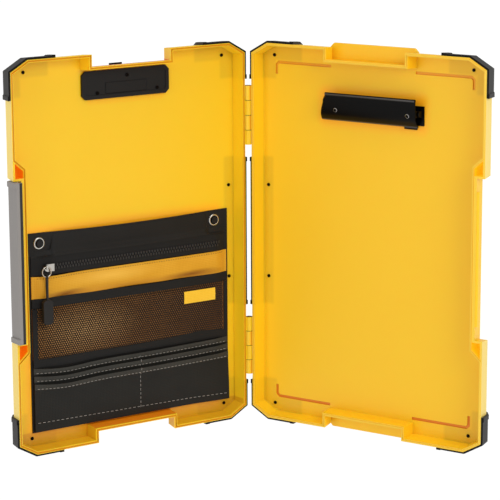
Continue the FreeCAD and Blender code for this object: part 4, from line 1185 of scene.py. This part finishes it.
for layer, (node, top) in enumerate(pocket_tops.items()):
    tall = top - pocket_foot
    sheet, flat, _ = cloth_sheet(node + "_cloth", node, pocket_nylon, (pocket_foot, top),
                                 partial(pocket_lift, layer, top), 1.5, 0.8, pocket_slip)
    corners = sheet.data.uv_layers[0].data
    # The hem's faces get the lighter copy of the nylon, as painted light.
    mark(sheet, lit_hem_nylon, lambda face: corners[face.loop_start].uv.y > tall - hem_tall)
    declare(sheet, flat, "laid", "organiser_panel_cloth")

# %% Label
label, label_flat, _ = cloth_sheet("pocket_label_cloth", "pocket_label", label_weave, in_mm(128.6, 141.6),
                                   lambda u, t: 2.0 * mm + 0.35 * mm * math.sin(math.pi * t), 1.2, 0.6,
                                   across=in_mm(33.4, 72.0))
declare(label, label_flat, "laid", "mesh_pocket_net")

# %% [markdown]
# ### Stitches
# One stitch is a short rounded thread. It is copied along each seam, and every copy lies on the cloth
# and turns with the seam.

# %% Stitches
def one_stitch(long, thick):
    """A rounded thread that lies along x."""
    stitch = block((long, thick, thick))
    round_off(stitch, thick * 0.32, 1)
    return stitch


def seam(name, pattern, route, long, pitch, finish, node):
    """Stitches along route(share), which gives u, v and height, over a seam of a given length."""
    count = int(long / pitch)
    spots = []
    for i in range(count):
        here = (i + 0.5) / count
        u, v, h = route(here)
        u_on, v_on, _ = route(here + 0.2 / count)
        u, v = flared(u, v)
        u_on, v_on = flared(u_on, v_on)
        lean = math.atan2(v_on - v, u - u_on)
        spots.append(Matrix.Translation((-u, panel_front - h, v)) @ Matrix.Rotation(-lean, 4, "Y"))
    piece = settle(placed(pattern, spots, name), cover_place)
    bpy.ops.object.shade_smooth()
    return dress(piece, finish, node, replace=False)


seam_margin = 2.0 * mm
seam_long = sheet_far - sheet_near - 2 * seam_margin
seam_down = 5.0 * mm


def from_left(share, margin=seam_margin):
    """u at a share of the way from the organiser's left edge."""
    return sheet_far - margin - (sheet_far - sheet_near - 2 * margin) * share


def along_sheet(foot, top, t, lift, slip, over, margin=seam_margin):
    """A route across a sheet at a share t of its height, a little over its face."""
    def route(share):
        u = from_left(share, margin)
        return u, foot + t * (top - foot) + slip(u, t), lift(u, t) + over

    return route


stitch, long_stitch, small_stitch = [one_stitch(long * mm, 0.5 * mm) for long in (2.6, 3.1, 1.3)]
for layer, (node, top) in enumerate(pocket_tops.items()):
    along_hem = along_sheet(pocket_foot, top, 1 - seam_down / (top - pocket_foot),
                            partial(pocket_lift, layer, top), pocket_slip, 0.12 * mm)
    seam(node + "_stitches", stitch, along_hem, seam_long, 4.4 * mm, stitch_thread, node)


def along_foot(share):
    return from_left(share), 28.0 * mm - 3.0 * mm * share, pocket_sheet * 3 + 0.12 * mm


middle_u = 127.5 * mm
middle_foot, middle_top = in_mm(24.5, 83.0)


def down_middle(share):
    v = middle_foot + (middle_top - middle_foot) * share
    sag = hem_sag(middle_u)
    h = pocket_sheet * 3
    for layer, top in enumerate(pocket_tops.values()):
        if v > top + sag and layer > 0:
            h = min(h, pocket_sheet * layer)
    down = min(abs(top + sag - v) for top in pocket_tops.values() if top + sag - v > -0.5 * mm)
    return middle_u, v, h + (hem_thick + hem_gape) * (1 - ease(down / hem_drop)) + 0.15 * mm


seam("pocket_foot_stitches", long_stitch, along_foot, seam_long, 5.3 * mm, stitch_thread,
     "card_pocket_front")
seam("pocket_middle_stitches", stitch, down_middle, middle_top - middle_foot, 4.2 * mm, stitch_thread,
     "card_pocket_front")
along_pouch = along_sheet(pouch_foot, pouch_top, 0.92, pouch_lift, pouch_slip, 0.05 * mm, 5.0 * mm)
seam("pouch_top_stitches", small_stitch, along_pouch, seam_long - 6 * mm, 2.9 * mm, dark_thread,
     "pouch_front")
for pattern in (stitch, long_stitch, small_stitch):
    bpy.data.objects.remove(pattern)

# %% [markdown]
# ### Pull cord
# A thin braided cord is looped through the ring, and both its ends are moulded into the tab.

# %% Pull cord
pull_u, wire_v, cord_foot = in_mm(239.4, 181.0, 155.6)
bend, foot_half, cord_thick = in_mm(1.6, 0.92, 1.6)
pull_y = panel_front - 9.8 * mm
leg = [(foot_half, cord_foot), (foot_half + 0.3 * mm, cord_foot + 9 * mm), (bend, wire_v - 5 * mm),
       (bend, wire_v)]
route = list(leg)
bend_steps = 8
for i in range(1, bend_steps):
    turn = math.pi * i / bend_steps
    route.append((bend * math.cos(turn), wire_v + bend * math.sin(turn)))
route += [(-y, v) for y, v in reversed(leg)]
bpy.ops.curve.primitive_nurbs_path_add()
cord = bpy.context.object
cord.name = "zip_pull_cord_braid"
cord.data.splines.clear()
spline = cord.data.splines.new("NURBS")
spline.points.add(len(route) - 1)
for point, (y, v) in zip(spline.points, route):
    point.co = (-pull_u, pull_y + y, v, 1.0)
spline.order_u = 3
spline.use_endpoint_u = True
spline.resolution_u = 6
cord.data.dimensions = "3D"
cord.data.bevel_depth = cord_thick / 2
cord.data.bevel_resolution = 3
cord.data.use_fill_caps = True
settle(cord, cover_place)
dress(cord, cord_braid, "zip_pull_cord")
